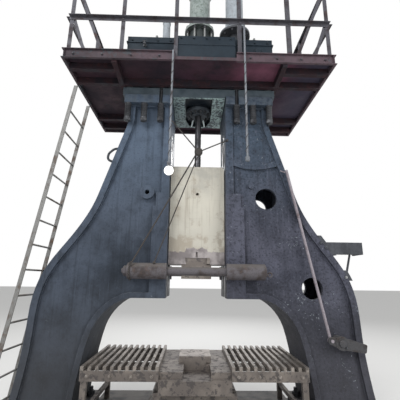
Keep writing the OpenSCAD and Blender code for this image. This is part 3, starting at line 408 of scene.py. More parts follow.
# %% Rusted steel
def rusted_steel(name, scale_grey, rust_dark, rust_warm, grey_share=0.55, dust=0.5, radius=0.002):
    f = Finish(name)
    bevel = f.rounded(radius)
    broad = f.blots(grey_share - 0.12, grey_share + 0.08, 6, 6, 0.65)
    pits = f.blots(0.52, 0.66, 70, 5, 0.7)
    warm = f.blots(0.5, 0.66, 19, 5, 0.6)
    worn = f.edges(bevel, 0.98, 0.86) * f.blots(0.42, 0.58, 12, 3)
    colour = f.layers(scale_grey, [
        (broad, rust_dark),
        (warm * broad * 0.7, rust_warm),
        (pits * 0.5, scaled(rust_dark, 0.5)),
        (f.up * dust, (0.21, 0.195, 0.18)),
        (worn * 0.6, (0.3, 0.29, 0.29))])
    rough = 0.55 + 0.25 * broad - worn * 0.2
    height = f.clouds(240, 3, 0.6) * 0.5 + pits * -0.6 + f.clouds(40) * 0.5
    return f.surface(colour, rough, f.bump(height, 0.55, 0.0012, bevel), 0.2)


RAIL_STEEL = rusted_steel(
    "rusted_angle_iron", (0.088, 0.088, 0.102), (0.048, 0.039, 0.043), (0.09, 0.054, 0.048),
    grey_share=0.58)
POLE_STEEL = rusted_steel(
    "pale_conduit_steel", (0.2, 0.215, 0.24), (0.1, 0.098, 0.108), (0.14, 0.11, 0.1),
    grey_share=0.64, dust=0.3)
JOIST_STEEL = rusted_steel(
    "sooty_red_joist", (0.024, 0.021, 0.028), (0.036, 0.02, 0.025), (0.07, 0.03, 0.034),
    grey_share=0.5, dust=0.3)
LADDER_STEEL = rusted_steel(
    "worn_ladder_steel", (0.22, 0.22, 0.215), (0.115, 0.09, 0.075), (0.19, 0.12, 0.085),
    grey_share=0.58, dust=0.4)
ROD_STEEL = rusted_steel(
    "hand_worn_rod_steel", (0.29, 0.262, 0.29), (0.16, 0.132, 0.14), (0.195, 0.138, 0.122),
    grey_share=0.6, dust=0.3)
LEVER_STEEL = rusted_steel(
    "dark_lever_steel", (0.062, 0.062, 0.066), (0.04, 0.035, 0.034), (0.07, 0.05, 0.042),
    dust=0.3, radius=0.004)
STRETCHER_STEEL = rusted_steel(
    "forged_stretcher_steel", (0.118, 0.11, 0.12), (0.066, 0.055, 0.054), (0.115, 0.082, 0.07),
    grey_share=0.58, radius=0.006)
print("rusted steels:", RAIL_STEEL.name, LADDER_STEEL.name, ROD_STEEL.name, LEVER_STEEL.name)

# %% [markdown]
# ## Steel that works hot
#
# Dies, anvil cap and table bars throw off scale at every blow. Their ground is a brown
# grey, flakes of blue black scale lie on it, and the struck faces shine through. The
# flakes are a ragged noise with a sharp threshold, and fine pits lie between them.

# %% Heat-scaled steel
def scaled_steel(name, ground, flake, bright, flakes, shine, metal, radius=0.004):
    f = Finish(name)
    bevel = f.rounded(radius)
    patch = f.blots(flakes, flakes + 0.05, 15, 7, 0.68)
    fine = f.blots(0.55, 0.66, 75, 4, 0.7)
    rubbed = f.blots(0.42, 0.66, 4, 5, 0.6)
    worn = f.edges(bevel, 0.985, 0.88) * f.blots(0.36, 0.58, 15, 3)
    colour = f.layers(ground, [
        (rubbed, bright),
        (patch * 0.8, flake),
        (fine * 0.35, scaled(ground, 0.6)),
        (worn * 0.8, (0.42, 0.39, 0.36))])
    rough = shine + 0.22 * patch - worn * 0.15
    height = patch * 0.7 + fine * 0.3 + f.clouds(190, 3) * 0.25
    return f.surface(colour, rough, f.bump(height, 0.6, 0.0012, bevel), metal)


ANVIL_STEEL = scaled_steel(
    "scaled_anvil_steel", (0.135, 0.118, 0.108), (0.07, 0.064, 0.064), (0.2, 0.175, 0.155),
    flakes=0.52, shine=0.5, metal=0.3)
DIE_STEEL = scaled_steel(
    "struck_die_steel", (0.21, 0.185, 0.168), (0.11, 0.1, 0.1), (0.33, 0.295, 0.265), flakes=0.54,
    shine=0.38, metal=0.6)
BAR_STEEL = scaled_steel(
    "worn_bar_steel", (0.2, 0.178, 0.16), (0.1, 0.09, 0.084), (0.33, 0.295, 0.265), flakes=0.53,
    shine=0.42, metal=0.4, radius=0.003)
print("hot working steels:", ANVIL_STEEL.name, DIE_STEEL.name, BAR_STEEL.name)

# %% [markdown]
# ## The ram
#
# The block wears a cream coat of lime and hard grease with brown streaks where oil ran
# down from the rod. It stops in a ragged line above the dovetail, where the steel is
# burnt grey, with a tongue that reaches higher in the middle.

# %% Ram finish
COAT_END, TONGUE_X = 1.998, 0.139


def ram_finish():
    f = Finish("cream_ram_coat")
    bevel = f.rounded(0.006)
    ragged = f.clouds(16, 5, 0.65) * 0.1 - 0.05
    tongue = f.above(f.x, -TONGUE_X, 0.003) * f.below(f.x, TONGUE_X, 0.003) * 0.05
    bare = f.below(f.z - ragged - tongue, COAT_END, 0.006)
    run = f.streaks(0.52, 0.7, 6, 0.62, (24, 24, 0.9))
    fall = f.streaks(0.58, 0.72, 4, 0.5, (60, 60, 2.2))
    oily = f.band(f.z, 2.5, 3.15) * f.blots(0.4, 0.62, 5, 5)
    stain = f.blots(0.46, 0.68, 3.2, 6, 0.6)
    blot = f.band(f.clouds(6.5, 6, 0.68) + f.band(f.z, 2.45, 2.02) * 0.1, 0.54, 0.66)
    shadow = f.blots(0.4, 0.62, 1.6, 3, 0.5)
    scratch = f.streaks(0.66, 0.72, 2, 0.5, (6, 6, 150))
    worn = f.edges(bevel, 0.985, 0.88) * f.blots(0.34, 0.58, 12, 3)
    cream = f.layers((0.62, 0.595, 0.515), [
        (shadow * 0.5, (0.5, 0.485, 0.43)),
        (stain * 0.5, (0.47, 0.43, 0.36)),
        (blot * 0.62, (0.36, 0.305, 0.24)),
        (run * 0.5, (0.29, 0.245, 0.19)),
        (fall * 0.45, (0.38, 0.34, 0.28)),
        (oily * 0.5, (0.33, 0.325, 0.3))])
    steel = f.mix(f.blots(0.36, 0.64, 7, 5), (0.44, 0.405, 0.4), (0.235, 0.212, 0.212))
    colour = f.layers(cream, [
        (bare, steel),
        (scratch * 0.25, (0.3, 0.28, 0.25)),
        (worn * 0.7, (0.3, 0.28, 0.26))])
    rough = 0.58 - oily * 0.15 - bare * 0.12
    height = f.clouds(60) * 0.4 + run * 0.3 - bare * 0.9
    return f.surface(colour, rough, f.bump(height, 0.5, 0.0018, bevel), bare * 0.3)


RAM_COAT = ram_finish()
print("ram coat:", RAM_COAT.name)

# %% [markdown]
# ## Oiled slides, springs, rope, timber and glass
#
# Guides and rod shine under a film of oil and are scored along their travel. The rope
# is sooty hemp with its strands laid round it, the packing is oak soaked with oil, and
# the lamp is frosted glass with a light inside.

# %% Small finishes
def oiled_steel(name, ground, dark, shine=0.28, metal=0.8):
    f = Finish(name)
    bevel = f.rounded(0.002)
    score = f.streaks(0.42, 0.66, 4, 0.6, (70, 70, 0.8))
    film = f.blots(0.4, 0.66, 5, 5, 0.6)
    colour = f.mix(score, ground, scaled(ground, 0.62))
    colour = f.mix(film * 0.7, colour, dark)
    rough = shine + 0.3 * film
    return f.surface(colour, rough, f.bump(score + f.clouds(220, 2) * 0.3, 0.3, 0.0005, bevel), metal)


def hemp_rope():
    f = Finish("sooty_hemp_rope")
    lay = f.node("ShaderNodeTexWave", {"wave_type": "BANDS", "bands_direction": "DIAGONAL"},
                 {"Vector": f.place, "Scale": 26.0, "Distortion": 0.6, "Detail": 2.0}, output="Fac")
    colour = f.mix(lay * 0.7, (0.04, 0.037, 0.036), (0.11, 0.1, 0.094))
    colour = f.mix(f.blots(0.5, 0.7, 12) * 0.5, colour, (0.03, 0.028, 0.028))
    return f.surface(colour, 0.86 + lay * 0.05, f.bump(lay + f.clouds(300, 3) * 0.5, 0.8, 0.003))


def oiled_timber():
    f = Finish("oiled_oak_packing")
    grain = f.clouds(1, 6, 0.6, f.stretch(9, 9, 70))
    colour = f.mix(f.band(grain, 0.35, 0.68), (0.155, 0.105, 0.066), (0.065, 0.045, 0.03))
    colour = f.mix(f.blots(0.42, 0.62, 4) * 0.7, colour, (0.035, 0.028, 0.022))
    return f.surface(colour, 0.62 + 0.2 * grain, f.bump(grain, 0.6, 0.002))


def frosted_bulb():
    f = Finish("frosted_bulb_glass")
    neck = f.band(f.z, 2.862, 2.845)
    colour = f.mix(neck, (0.62, 0.62, 0.6), (0.95, 0.96, 0.93))
    glow = f.mix(neck, (0.35, 0.35, 0.34), (1.0, 1.0, 0.97))
    return f.surface(colour, 0.32, f.bump(f.clouds(180, 2), 0.05, 0.0005),
                     **{"Emission Color": glow, "Emission Strength": 1.1})


GUIDE_STEEL = oiled_steel("oiled_guide_steel", (0.25, 0.25, 0.26), (0.055, 0.052, 0.052))
ROD_OILED = oiled_steel("oiled_piston_rod", (0.13, 0.13, 0.14), (0.05, 0.05, 0.055), shine=0.26)
BOLT_STEEL = oiled_steel(
    "sooty_bolt_steel", (0.105, 0.11, 0.12), (0.034, 0.035, 0.04), shine=0.42, metal=0.5)
STUD_STEEL = oiled_steel(
    "bright_stud_steel", (0.42, 0.43, 0.43), (0.16, 0.165, 0.165), shine=0.3, metal=0.4)
ROPE = hemp_rope()
TIMBER = oiled_timber()
BULB = frosted_bulb()
print("small finishes:", GUIDE_STEEL.name, ROPE.name, TIMBER.name, BULB.name)

# %% [markdown]
# Every solid now gets its finish by name, from one table, and the count below proves
# that nothing was left plain.

# %% Dress the solids
DRESS = {
    SLATE_IRON: ["left_frame"],
    RIGHT_IRON: ["right_frame"],
    DARK_IRON: ["bed_plate", "gland", "side_arm", "side_arm_brace", "lever_bracket"],
    STRETCHER_STEEL: ["front_stretcher", "rear_stretcher"],
    BASE_PAINT: ["cylinder_base"],
    TANK_PAINT: ["oil_tank"],
    SILVER_PAINT: ["cylinder", "cylinder_head"],
    PALE_SILVER: ["accumulator", "filter_canister"],
    OXIDE_PAINT: ["platform_deck"],
    EDGE_PAINT: ["platform_edge"],
    JOIST_STEEL: ["platform_joists"],
    RAIL_STEEL: ["front_railing", "left_railing", "right_railing", "rear_railing"],
    POLE_STEEL: ["left_lamp_pole", "right_lamp_pole"],
    LADDER_STEEL: ["ladder"],
    ROD_STEEL: ["control_rod"],
    LEVER_STEEL: ["control_lever"],
    ANVIL_STEEL: ["anvil", "anvil_cap", "left_work_table", "right_work_table"],
    DIE_STEEL: ["lower_die", "lower_die_key", "upper_die", "upper_die_key"],
    BAR_STEEL: ["left_table_bars", "right_table_bars"],
    RAM_COAT: ["ram"],
    GUIDE_STEEL: ["left_guide", "right_guide"],
    ROD_OILED: ["piston_rod", "piston"],
    BOLT_STEEL: ["left_holding_bolts", "right_holding_bolts"],
    STUD_STEEL: ["cylinder_studs"],
    ROPE: ["hauling_rope"],
    TIMBER: ["anvil_packing"],
    BULB: ["lamp_bulb"],
}
dressed = set()
for finish, names in DRESS.items():
    for name in names:
        mesh = NODES[name].data
        mesh.materials.clear()
        mesh.materials.append(finish)
        dressed.add(name)
print("dressed", len(dressed), "of", len(NODES), "left plain:", sorted(set(NODES) - dressed))

# %% [markdown]
# ## Fasteners
#
# A hammer is held together by nuts. Each one is a washer, a hexagon with a bevelled
# crown and the end of its stud. Geometry Nodes place a copy on every point of a small
# cloud, so one recipe with named sizes makes the whole family, from the foundation
# nuts to the tank's cap screws.

# %% Hexagon recipe
CORNER_SHARE, WASHER_SHARE, PRISM_SHARE, CROWN_SHARE = 0.57735, 0.14, 0.8, 0.2


def socket_names(tree):
    return {s.name: s.identifier for s in tree.interface.items_tree if s.in_out == "INPUT"}


def new_tree(name, sizes):
    tree = bpy.data.node_groups.new(name, "GeometryNodeTree")
    tree.interface.new_socket("Geometry", in_out="INPUT", socket_type="NodeSocketGeometry")
    for label, kind in sizes.items():
        tree.interface.new_socket(label, in_out="INPUT", socket_type="NodeSocket" + kind)
    tree.interface.new_socket("Geometry", in_out="OUTPUT", socket_type="NodeSocketGeometry")
    graph = Graph(tree)
    source = graph.node("NodeGroupInput")
    return graph, {s.name: Wire(graph, s) for s in source.socket.node.outputs if s.name}


def finish_tree(graph, geometry, finish):
    real = graph.node("GeometryNodeRealizeInstances", {}, {"Geometry": geometry})
    done = graph.node("GeometryNodeSetMaterial", {}, {"Geometry": real, "Material": finish})
    graph.node("NodeGroupOutput", {}, {0: done})
    return graph.tree


def hexagon_recipe():
    g, size = new_tree("hexagon_fastener", {
        "Across": "Float", "Height": "Float", "Washer": "Float", "Stud": "Float",
        "Stud radius": "Float", "Facing": "Vector", "Spin": "Float", "Finish": "Material"})
    corner = size["Across"] * CORNER_SHARE
    wash_h = size["Height"] * WASHER_SHARE
    prism_h = size["Height"] * PRISM_SHARE
    crown_h = size["Height"] * CROWN_SHARE

    def cylinder(sides, radius, depth):
        return g.node("GeometryNodeMeshCylinder", {}, {
            "Vertices": sides, "Radius": radius, "Depth": depth})

    def lift(mesh, height):
        up = g.node("ShaderNodeCombineXYZ", {}, {2: height})
        return g.node("GeometryNodeTransform", {}, {"Geometry": mesh, "Translation": up})

    crown = g.node("GeometryNodeMeshCone", {}, {
        "Vertices": 6, "Radius Top": corner * 0.86, "Radius Bottom": corner * 0.985, "Depth": crown_h})
    stud = cylinder(14, size["Stud radius"], size["Stud"])
    parts = [lift(cylinder(6, corner, prism_h), wash_h + prism_h * 0.5),
             lift(crown, wash_h + prism_h),
             lift(cylinder(20, size["Washer"], wash_h), wash_h * 0.5),
             lift(stud, wash_h + size["Height"] + size["Stud"] * 0.5)]
    joined = g.node("GeometryNodeJoinGeometry")
    for part in reversed(parts):
        g.tree.links.new(part.socket, joined.socket.node.inputs[0])
    turn = g.node("ShaderNodeCombineXYZ", {}, {2: size["Spin"]})
    spun = g.node("GeometryNodeTransform", {}, {"Geometry": joined, "Rotation": turn})
    aim = g.node("FunctionNodeAlignRotationToVector", {"axis": "Z"}, {"Vector": size["Facing"]})
    copies = g.node("GeometryNodeInstanceOnPoints", {}, {
        "Points": size["Geometry"], "Instance": spun, "Rotation": aim})
    return finish_tree(g, copies, size["Finish"])


HEXAGON = hexagon_recipe()
print("hexagon sizes:", list(socket_names(HEXAGON)))

# %% [markdown]
# A recipe runs as a modifier on a cloud of points, and its result is kept as a mesh.
# A nut's washer is a share of the width across flats, its stud a share of the height.
# A bare nut hides its washer, and on a flush one the stud hardly shows.

# %% Run a recipe and keep its mesh
BARE = 0.5
FLUSH = 0.06


def tell(what, pieces):
    print(what + ":", ", ".join(o.name for o in pieces))


def cloud_object(name, points, edges=()):
    mesh = bpy.data.meshes.new(name)
    mesh.from_pydata([tuple(p) for p in points], list(edges), [])
    return add_object(name, mesh)


def run_recipe(obj, tree, values):
    modifier = obj.modifiers.new("recipe", "NODES")
    modifier.node_group = tree
    where = socket_names(tree)
    for label, value in values.items():
        modifier[where[label]] = value
    bpy.context.view_layer.update()
    evaluated = obj.evaluated_get(bpy.context.evaluated_depsgraph_get())
    mesh = bpy.data.meshes.new_from_object(evaluated)
    obj.modifiers.clear()
    obj.data = mesh
    return obj


def carry(obj, body):
    """Let the piece ride on a body."""
    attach(obj, body)
    return obj


def nuts(name, points, facing, size, finish=None, slot="left_holding_bolts", body="hammer",
         washer=0.66, stud=0.35, spin=0.0):
    across, height = size
    obj = run_recipe(cloud_object(name, points), HEXAGON, {
        "Across": across, "Height": height, "Washer": across * washer,
        "Stud": height * stud, "Stud radius": across * 0.29, "Facing": Vector(facing),
        "Spin": spin, "Finish": finish or BOLT_STEEL})
    return carry(obj, body)


def ring(centre, radius, count, start=0.0):
    x, y, z = centre
    return [(x + radius * cos(start + i * tau / count),
             y + radius * sin(start + i * tau / count), z) for i in range(count)]


print("recipes run on point clouds and are kept as plain meshes")

# %% [markdown]
# Two more recipes make what is long and round. One sweeps a circle along a path, for
# pipes, cables and pins. The other lays beads of weld along a line, with each bead a
# little different in size, and the same every time because the seed is fixed.

# %% Round bar and weld bead recipes
def round_bar_recipe():
    g, size = new_tree("round_bar", {"Radius": "Float", "Sides": "Int", "Finish": "Material"})
    curve = g.node("GeometryNodeMeshToCurve", {}, {"Mesh": size["Geometry"]})
    profile = g.node("GeometryNodeCurvePrimitiveCircle", {"mode": "RADIUS"}, {
        "Resolution": size["Sides"], "Radius": size["Radius"]})
    swept = g.node("GeometryNodeCurveToMesh", {}, {
        "Curve": curve, "Profile Curve": profile, "Fill Caps": True})
    smooth = g.node("GeometryNodeSetShadeSmooth", {}, {"Geometry": swept})
    return finish_tree(g, smooth, size["Finish"])


def weld_bead_recipe():
    g, size = new_tree("weld_bead", {"Radius": "Float", "Seed": "Int", "Finish": "Material"})
    drop = g.node("GeometryNodeMeshIcoSphere", {}, {"Radius": size["Radius"], "Subdivisions": 2})
    uneven = g.node("FunctionNodeRandomValue", {"data_type": "FLOAT_VECTOR"}, {
        0: (0.8, 0.8, 0.55), 1: (1.25, 1.25, 0.85), "Seed": size["Seed"]})
    laid = g.node("GeometryNodeInstanceOnPoints", {}, {
        "Points": size["Geometry"], "Instance": drop, "Scale": uneven})
    return finish_tree(g, laid, size["Finish"])


ROUND_BAR = round_bar_recipe()
WELD_BEAD = weld_bead_recipe()
print("bar sizes:", list(socket_names(ROUND_BAR)), "bead sizes:", list(socket_names(WELD_BEAD)))

# %% [markdown]
# A bar follows one or more paths, a bend rounds off the corners of a path, and a weld
# lays its beads closer than they are wide.

# %% Paths and welds
def bar(name, paths, radius, finish, body="hammer", sides=10):
    points, links = [], []
    for path in paths:
        start = len(points)
        points += path
        links += [(start + i, start + i + 1) for i in range(len(path) - 1)]
    obj = run_recipe(cloud_object(name, points, links), ROUND_BAR, {
        "Radius": radius, "Sides": sides, "Finish": finish})
    return carry(obj, body)


def bend(corners, radius, steps=5):
    """Round off the inner corners of a path with quadratic arcs."""
    pts = [Vector(c) for c in corners]
    path = [pts[0]]
    for before, corner, after in zip(pts, pts[1:], pts[2:]):
        into = corner + (before - corner).normalized() * radius
        out = corner + (after - corner).normalized() * radius
        for i in range(steps + 1):
            t = i / steps
            path.append(into * (1 - t) ** 2 + corner * (2 * t * (1 - t)) + out * t ** 2)
    return [tuple(p) for p in path + [pts[-1]]]


def weld(name, lines, radius, finish, seed=1):
    points = []
    for start, end in lines:
        start, end = Vector(start), Vector(end)
        count = max(2, int((end - start).length / (radius * 1.1)))
        points += [start.lerp(end, i / (count - 1)) for i in range(count)]
    obj = run_recipe(cloud_object(name, points), WELD_BEAD, {
        "Radius": radius, "Seed": seed, "Finish": finish})
    return carry(obj, "hammer")


print("helpers: bar, bend, weld")

# %% [markdown]
# Plugs, caps and ribs are turned on a lathe. Their half outline is a list of radius and
# height that starts and ends on the axis.

# %% Turned shapes
def turned(name, spots, profile, facing, finish, steps=28):
    shape = bmesh.new()
    aim = Vector(facing).to_track_quat("Z", "Y").to_matrix().to_4x4()
    for spot in spots:
        place = Matrix.Translation(Vector(spot)) @ aim
        rings = []
        for radius, height in profile:
            circle = ring((0, 0, height), radius, 1 if radius == 0 else steps)
            rings.append([shape.verts.new(place @ Vector(point)) for point in circle])
        for lower, upper in zip(rings, rings[1:]):
            for i in range(steps):
                j = (i + 1) % steps
                a, b = lower[i % len(lower)], lower[j % len(lower)]
                c, d = upper[j % len(upper)], upper[i % len(upper)]
                corners = [v for k, v in enumerate((a, b, c, d)) if v not in (a, b, c, d)[:k]]
                shape.faces.new(corners)
    bmesh.ops.recalc_face_normals(shape, faces=shape.faces)
    mesh = bpy.data.meshes.new(name)
    shape.to_mesh(mesh)
    shape.free()
    mesh.shade_smooth()
    mesh.set_sharp_from_angle(angle=radians(35))
    mesh.materials.append(finish)
    return carry(add_object(name, mesh), "hammer")


print("helper: turned")

# %% [markdown]
# The heights are read from the solids, so a nut sits on its own flange: the foundation
# nuts on the foot, the holding nuts above and below the spring stacks, the gland nuts
# under the gland, and the flange nuts at both ends of the cylinder's long studs.

# %% Nuts of the frames and the cylinder
UP, DOWN = (0, 0, 1), (0, 0, -1)
FRONT, REAR = (0, -1, 0), (0, 1, 0)
LEFT, RIGHT = (-1, 0, 0), (1, 0, 0)
FOUNDATION_NUT, HOLDING_NUT, HOLDING_HEAD = (0.085, 0.05), (0.077, 0.046), (0.083, 0.034)
GLAND_NUT, STUD_NUT, HEAD_SCREW = (0.03, 0.026), (0.046, 0.034), (0.032, 0.02)
FOOT_FLANGE, SPRING_SLAB, HEAD_DROP = 0.11, 0.074, 0.048
GLAND_FLANGE, STUD_SEAT, STUD_FLANGE, HEAD_FLANGE = 0.03, 0.03, 0.0453, 0.05
GLAND_RADIUS, STUD_RADIUS, HEAD_RADIUS = 0.152, 0.203, 0.17
FOOT_XS, FOOT_YS = (1.325, 2.155), (-0.25, 0.25)
HOLD_XS, HOLD_YS = (0.965, 0.745, 0.52), (-0.421, 0.421)


def top(node):
    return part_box(node)[1].z


def bottom(node):
    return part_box(node)[0].z


def at_height(spots, z):
    return [(x, y, z) for x, y, _ in spots]


def stud_ring(z):
    return ring((0, 0, z), STUD_RADIUS, 8, radians(22.5))


foot_top = top("bed_plate") + FOOT_FLANGE
tank_top = top("oil_tank")
slab_top = top("left_holding_bolts") - SPRING_SLAB
bolt_low = bottom("left_holding_bolts") + HEAD_DROP
flange_up = top("cylinder_studs")
foot_spots = [(s * x, y, foot_top) for s in (-1, 1) for x in FOOT_XS for y in FOOT_YS]
hold_spots = [(s * x, y, 0) for s in (-1, 1) for x in HOLD_XS for y in HOLD_YS]
flat_side = pi / 6
made = [
    nuts("foundation_nuts", foot_spots, UP, FOUNDATION_NUT, washer=0.64, stud=0.9),
    nuts("holding_nuts_high", at_height(hold_spots, slab_top), UP, HOLDING_NUT,
         stud=FLUSH, washer=0.578, spin=flat_side),
    nuts("holding_nuts_low", at_height(hold_spots, bolt_low), DOWN, HOLDING_HEAD,
         stud=FLUSH, washer=0.518, spin=flat_side),
    nuts("gland_nuts", ring((0, 0, bottom("gland") + GLAND_FLANGE), GLAND_RADIUS, 12, 0.2), DOWN,
         GLAND_NUT, slot="gland", stud=1.0),
    nuts("stud_nuts_low", stud_ring(tank_top + STUD_SEAT), UP, STUD_NUT, stud=FLUSH),
    nuts("stud_nuts_under", stud_ring(flange_up), DOWN, STUD_NUT, stud=FLUSH),
    nuts("stud_nuts_high", stud_ring(flange_up + STUD_FLANGE), UP, STUD_NUT),
    nuts("head_screws", ring((0, 0, bottom("cylinder_head") + HEAD_FLANGE), HEAD_RADIUS, 12), UP,
         HEAD_SCREW, SILVER_PAINT, "cylinder_head", stud=FLUSH),
]
tell("nuts", made)

# %% [markdown]
# A bent bar is welded to the left frame's outer edge, as an eye for the sling that
# lifted the casting into its place.

# %% Lifting eye
EYE_Y = -0.3
eye = bend([(-1.058, EYE_Y, 3.368), (-1.135, EYE_Y, 3.36), (-1.21, EYE_Y, 3.288),
            (-1.214, EYE_Y, 3.205), (-1.118, EYE_Y, 3.16)], 0.035)
lifting_eye = bar("lifting_eye", [eye], 0.016, DARK_IRON, sides=14)
print("lifting eye:", len(lifting_eye.data.polygons), "faces")

# %% [markdown]
# The gas bottle stands on a small flange, narrows to a neck and widens to its own
# flange, so it needs three rings of bolts and a cap over its filling valve. The filter
# beside it has one ring at its foot.

# %% Gas bottle and filter
BOTTLE, FILTER = (0.56, -0.06), (-0.525, -0.06)
FOOT_BOLT, FLANGE_BOLT, FILTER_BOLT = (0.026, 0.018), (0.03, 0.02), (0.016, 0.012)
BOTTLE_FOOT, NECK_UNDER, NECK_OVER, FILTER_FOOT = 0.0302, 0.75, 0.7975, 0.0242
VALVE_CAP = [(0, 0), (0.046, 0), (0.046, 0.012), (0.03, 0.018), (0.03, 0.03), (0.036, 0.036),
             (0.036, 0.082), (0.028, 0.096), (0.012, 0.102), (0, 0.102)]


def on_tank(spot, height):
    return (*spot, tank_top + height)


made = [
    nuts("bottle_foot_bolts", ring(on_tank(BOTTLE, BOTTLE_FOOT), 0.133, 6), UP, FOOT_BOLT,
         PALE_SILVER, "accumulator", stud=0.3),
    nuts("bottle_flange_bolts_low", ring(on_tank(BOTTLE, NECK_UNDER), 0.208, 10), DOWN,
         FLANGE_BOLT, slot="accumulator", stud=0.5),
    nuts("bottle_flange_bolts_high", ring(on_tank(BOTTLE, NECK_OVER), 0.196, 10), UP,
         FLANGE_BOLT, slot="accumulator", stud=0.5),
    nuts("filter_foot_bolts", ring(on_tank(FILTER, FILTER_FOOT), 0.072, 6, 0.5), UP, FILTER_BOLT,
         PALE_SILVER, "filter_canister", stud=0.3),
    turned("bottle_valve_cap", [(*BOTTLE, top("accumulator") - 0.004)], VALVE_CAP, UP,
           BOLT_STEEL),
]
tell("bottle and filter", made)

# %% [markdown]
# The tank has plugs along its top, a level plug and a tap in front, and an elbow pipe
# that feeds the bottle.

# %% Tank fittings
TOP_PLUG = [(0, 0), (0.02, 0), (0.02, 0.01), (0.011, 0.013), (0.011, 0.034), (0.015, 0.037),
            (0.015, 0.052), (0.009, 0.058), (0, 0.058)]
LEVEL_PLUG = [(0, 0), (0.052, 0), (0.052, 0.008), (0.04, 0.014), (0.036, 0.026), (0.018, 0.03),
              (0, 0.03)]
TAP = [(0, 0), (0.022, 0), (0.022, 0.008), (0.011, 0.011), (0.011, 0.03), (0.017, 0.033),
       (0.017, 0.05), (0.01, 0.055), (0, 0.055)]
PIPE_RISE, TAP_REACH = 0.13, 0.042
tank_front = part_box("oil_tank")[0].y
wing_y, bay_y = tank_front + 0.0674, tank_front + 0.0058
tap_x, tap_z = -0.7, 4.52
spout_y = wing_y - TAP_REACH
pipe = bend([on_tank((0.33, -0.36), -0.002), on_tank((0.33, -0.36), PIPE_RISE),
             on_tank((0.392, -0.277), PIPE_RISE), on_tank((0.49, -0.146), PIPE_RISE)], 0.05)
made = [
    turned("tank_top_plugs", [(x, -0.86, tank_top - 0.001) for x in (-0.56, -0.27, 0.7)],
           TOP_PLUG, UP, STUD_STEEL, steps=20),
    turned("tank_level_plug", [(0.735, wing_y - 0.001, 4.47)], LEVEL_PLUG, FRONT, TANK_PAINT),
    bar("bottle_feed_pipe", [pipe], 0.019, PALE_SILVER, sides=14),
    turned("tank_tap_body", [(tap_x, wing_y, tap_z)], TAP, FRONT, BOLT_STEEL, steps=20),
    bar("tank_tap_spout", [
        [(tap_x, spout_y, tap_z), (tap_x, spout_y, tap_z - 0.045)],
        [(tap_x - 0.024, spout_y, tap_z + 0.03), (tap_x + 0.026, spout_y, tap_z + 0.038)],
        [(tap_x, spout_y, tap_z + 0.008), (tap_x, spout_y, tap_z + 0.036)]],
        0.006, BOLT_STEEL),
]
tell("on the tank", made)

# %% [markdown]
# The tank's lid is screwed down all round. In front the bay stands proud of the two
# wings, so its screws lie on a plane of their own.

# %% Tank screws
LID_EDGE = 0.052
seam_z = tank_top - LID_EDGE
side_ys = (-0.75, -0.25, 0.25, 0.75)
wing_xs = (-0.86, -0.7, -0.54, -0.38, 0.54, 0.7, 0.86)
bay_xs = (-0.24, -0.08, 0.08, 0.24, 0.38)
seams = {
    "tank_front_screws": ([(x, wing_y, seam_z) for x in wing_xs]
                          + [(x, bay_y, seam_z) for x in bay_xs], FRONT, 0.012),
    "tank_rear_screws": ([(x, 0.9, seam_z) for x in (-0.8, -0.48, -0.16, 0.16, 0.48, 0.8)],
                         REAR, 0.011),
    "tank_left_screws": ([(-0.92, y, seam_z) for y in side_ys], LEFT, 0.011),
    "tank_right_screws": ([(0.92, y, seam_z) for y in side_ys], RIGHT, 0.011),
}
made = [nuts(name, spots, facing, (0.02, height), TANK_PAINT, "oil_tank", stud=FLUSH)
        for name, (spots, facing, height) in seams.items()]
print("tank screws:", sum(len(o.data.polygons) for o in made), "faces")

# %% [markdown]
# The platform is put together on site: its edge channel is bolted to the joists, the
# posts are welded to the deck, and the middle rail is bolted to every post.

# %% Platform fasteners and welds
EDGE_BOLT, RAIL_BOLT = (0.024, 0.016), (0.019, 0.012)
EDGE_Z, EDGE_X, EDGE_FRONT, EDGE_REAR = 4.305, 1.6583, -0.988, 1.008
POST_XS, OPEN_POST_XS = (-1.0, -0.33, 0.47, 1.1), (-1.0, 1.1)
POST_W, POST_WALL, POST_DEPTH = 0.05, 0.007, 0.043
deck_top = top("platform_deck")
mid_z = deck_top + 0.55 - 0.028
front_xs = (-1.55, -1.2, -0.85, -0.5, 0.62, 0.95, 1.25, 1.55)
edge_ys = [-0.8 + 0.4 * i for i in range(5)]
edges = {
    "edge_bolts_front": ([(x, EDGE_FRONT, EDGE_Z) for x in front_xs], FRONT),
    "edge_bolts_rear": ([(-1.5 + 0.5 * i, EDGE_REAR, EDGE_Z) for i in range(7)], REAR),
    "edge_bolts_left": ([(-EDGE_X, y, EDGE_Z) for y in edge_ys], LEFT),
    "edge_bolts_right": ([(EDGE_X, y, EDGE_Z) for y in edge_ys], RIGHT),
}


def foot_seams(xs, y, inward):
    """Lines along the outer face of each post's foot, then along its web."""
    outer = [((x, y, deck_top), (x + POST_W, y, deck_top)) for x in xs]
    return outer + [((x + POST_WALL, y + inward * 0.002, deck_top),
                     (x + POST_WALL, y + inward * POST_DEPTH, deck_top)) for x in xs]


made = [nuts(name, spots, facing, EDGE_BOLT, RAIL_STEEL, "platform_edge", stud=0.2, washer=BARE)
        for name, (spots, facing) in edges.items()]
made += [nuts(name, [(x + POST_W / 2, y, mid_z) for x in POST_XS], facing, RAIL_BOLT, RAIL_STEEL,
              slot, stud=0.4)
         for name, y, facing, slot in (("rail_bolts_front", -0.98, FRONT, "front_railing"),
                                       ("rail_bolts_rear", 1.0, REAR, "rear_railing"))]
made += [
    weld("post_welds_front", foot_seams(OPEN_POST_XS, -0.968, 1), 0.0055, RAIL_STEEL),
    weld("post_welds_rear", foot_seams(POST_XS, 0.988, -1), 0.0055, RAIL_STEEL,
         seed=2),
]
tell("platform", made)

# %% [markdown]
# Every rung of the ladder is welded all round at both ends, where it meets its stile.

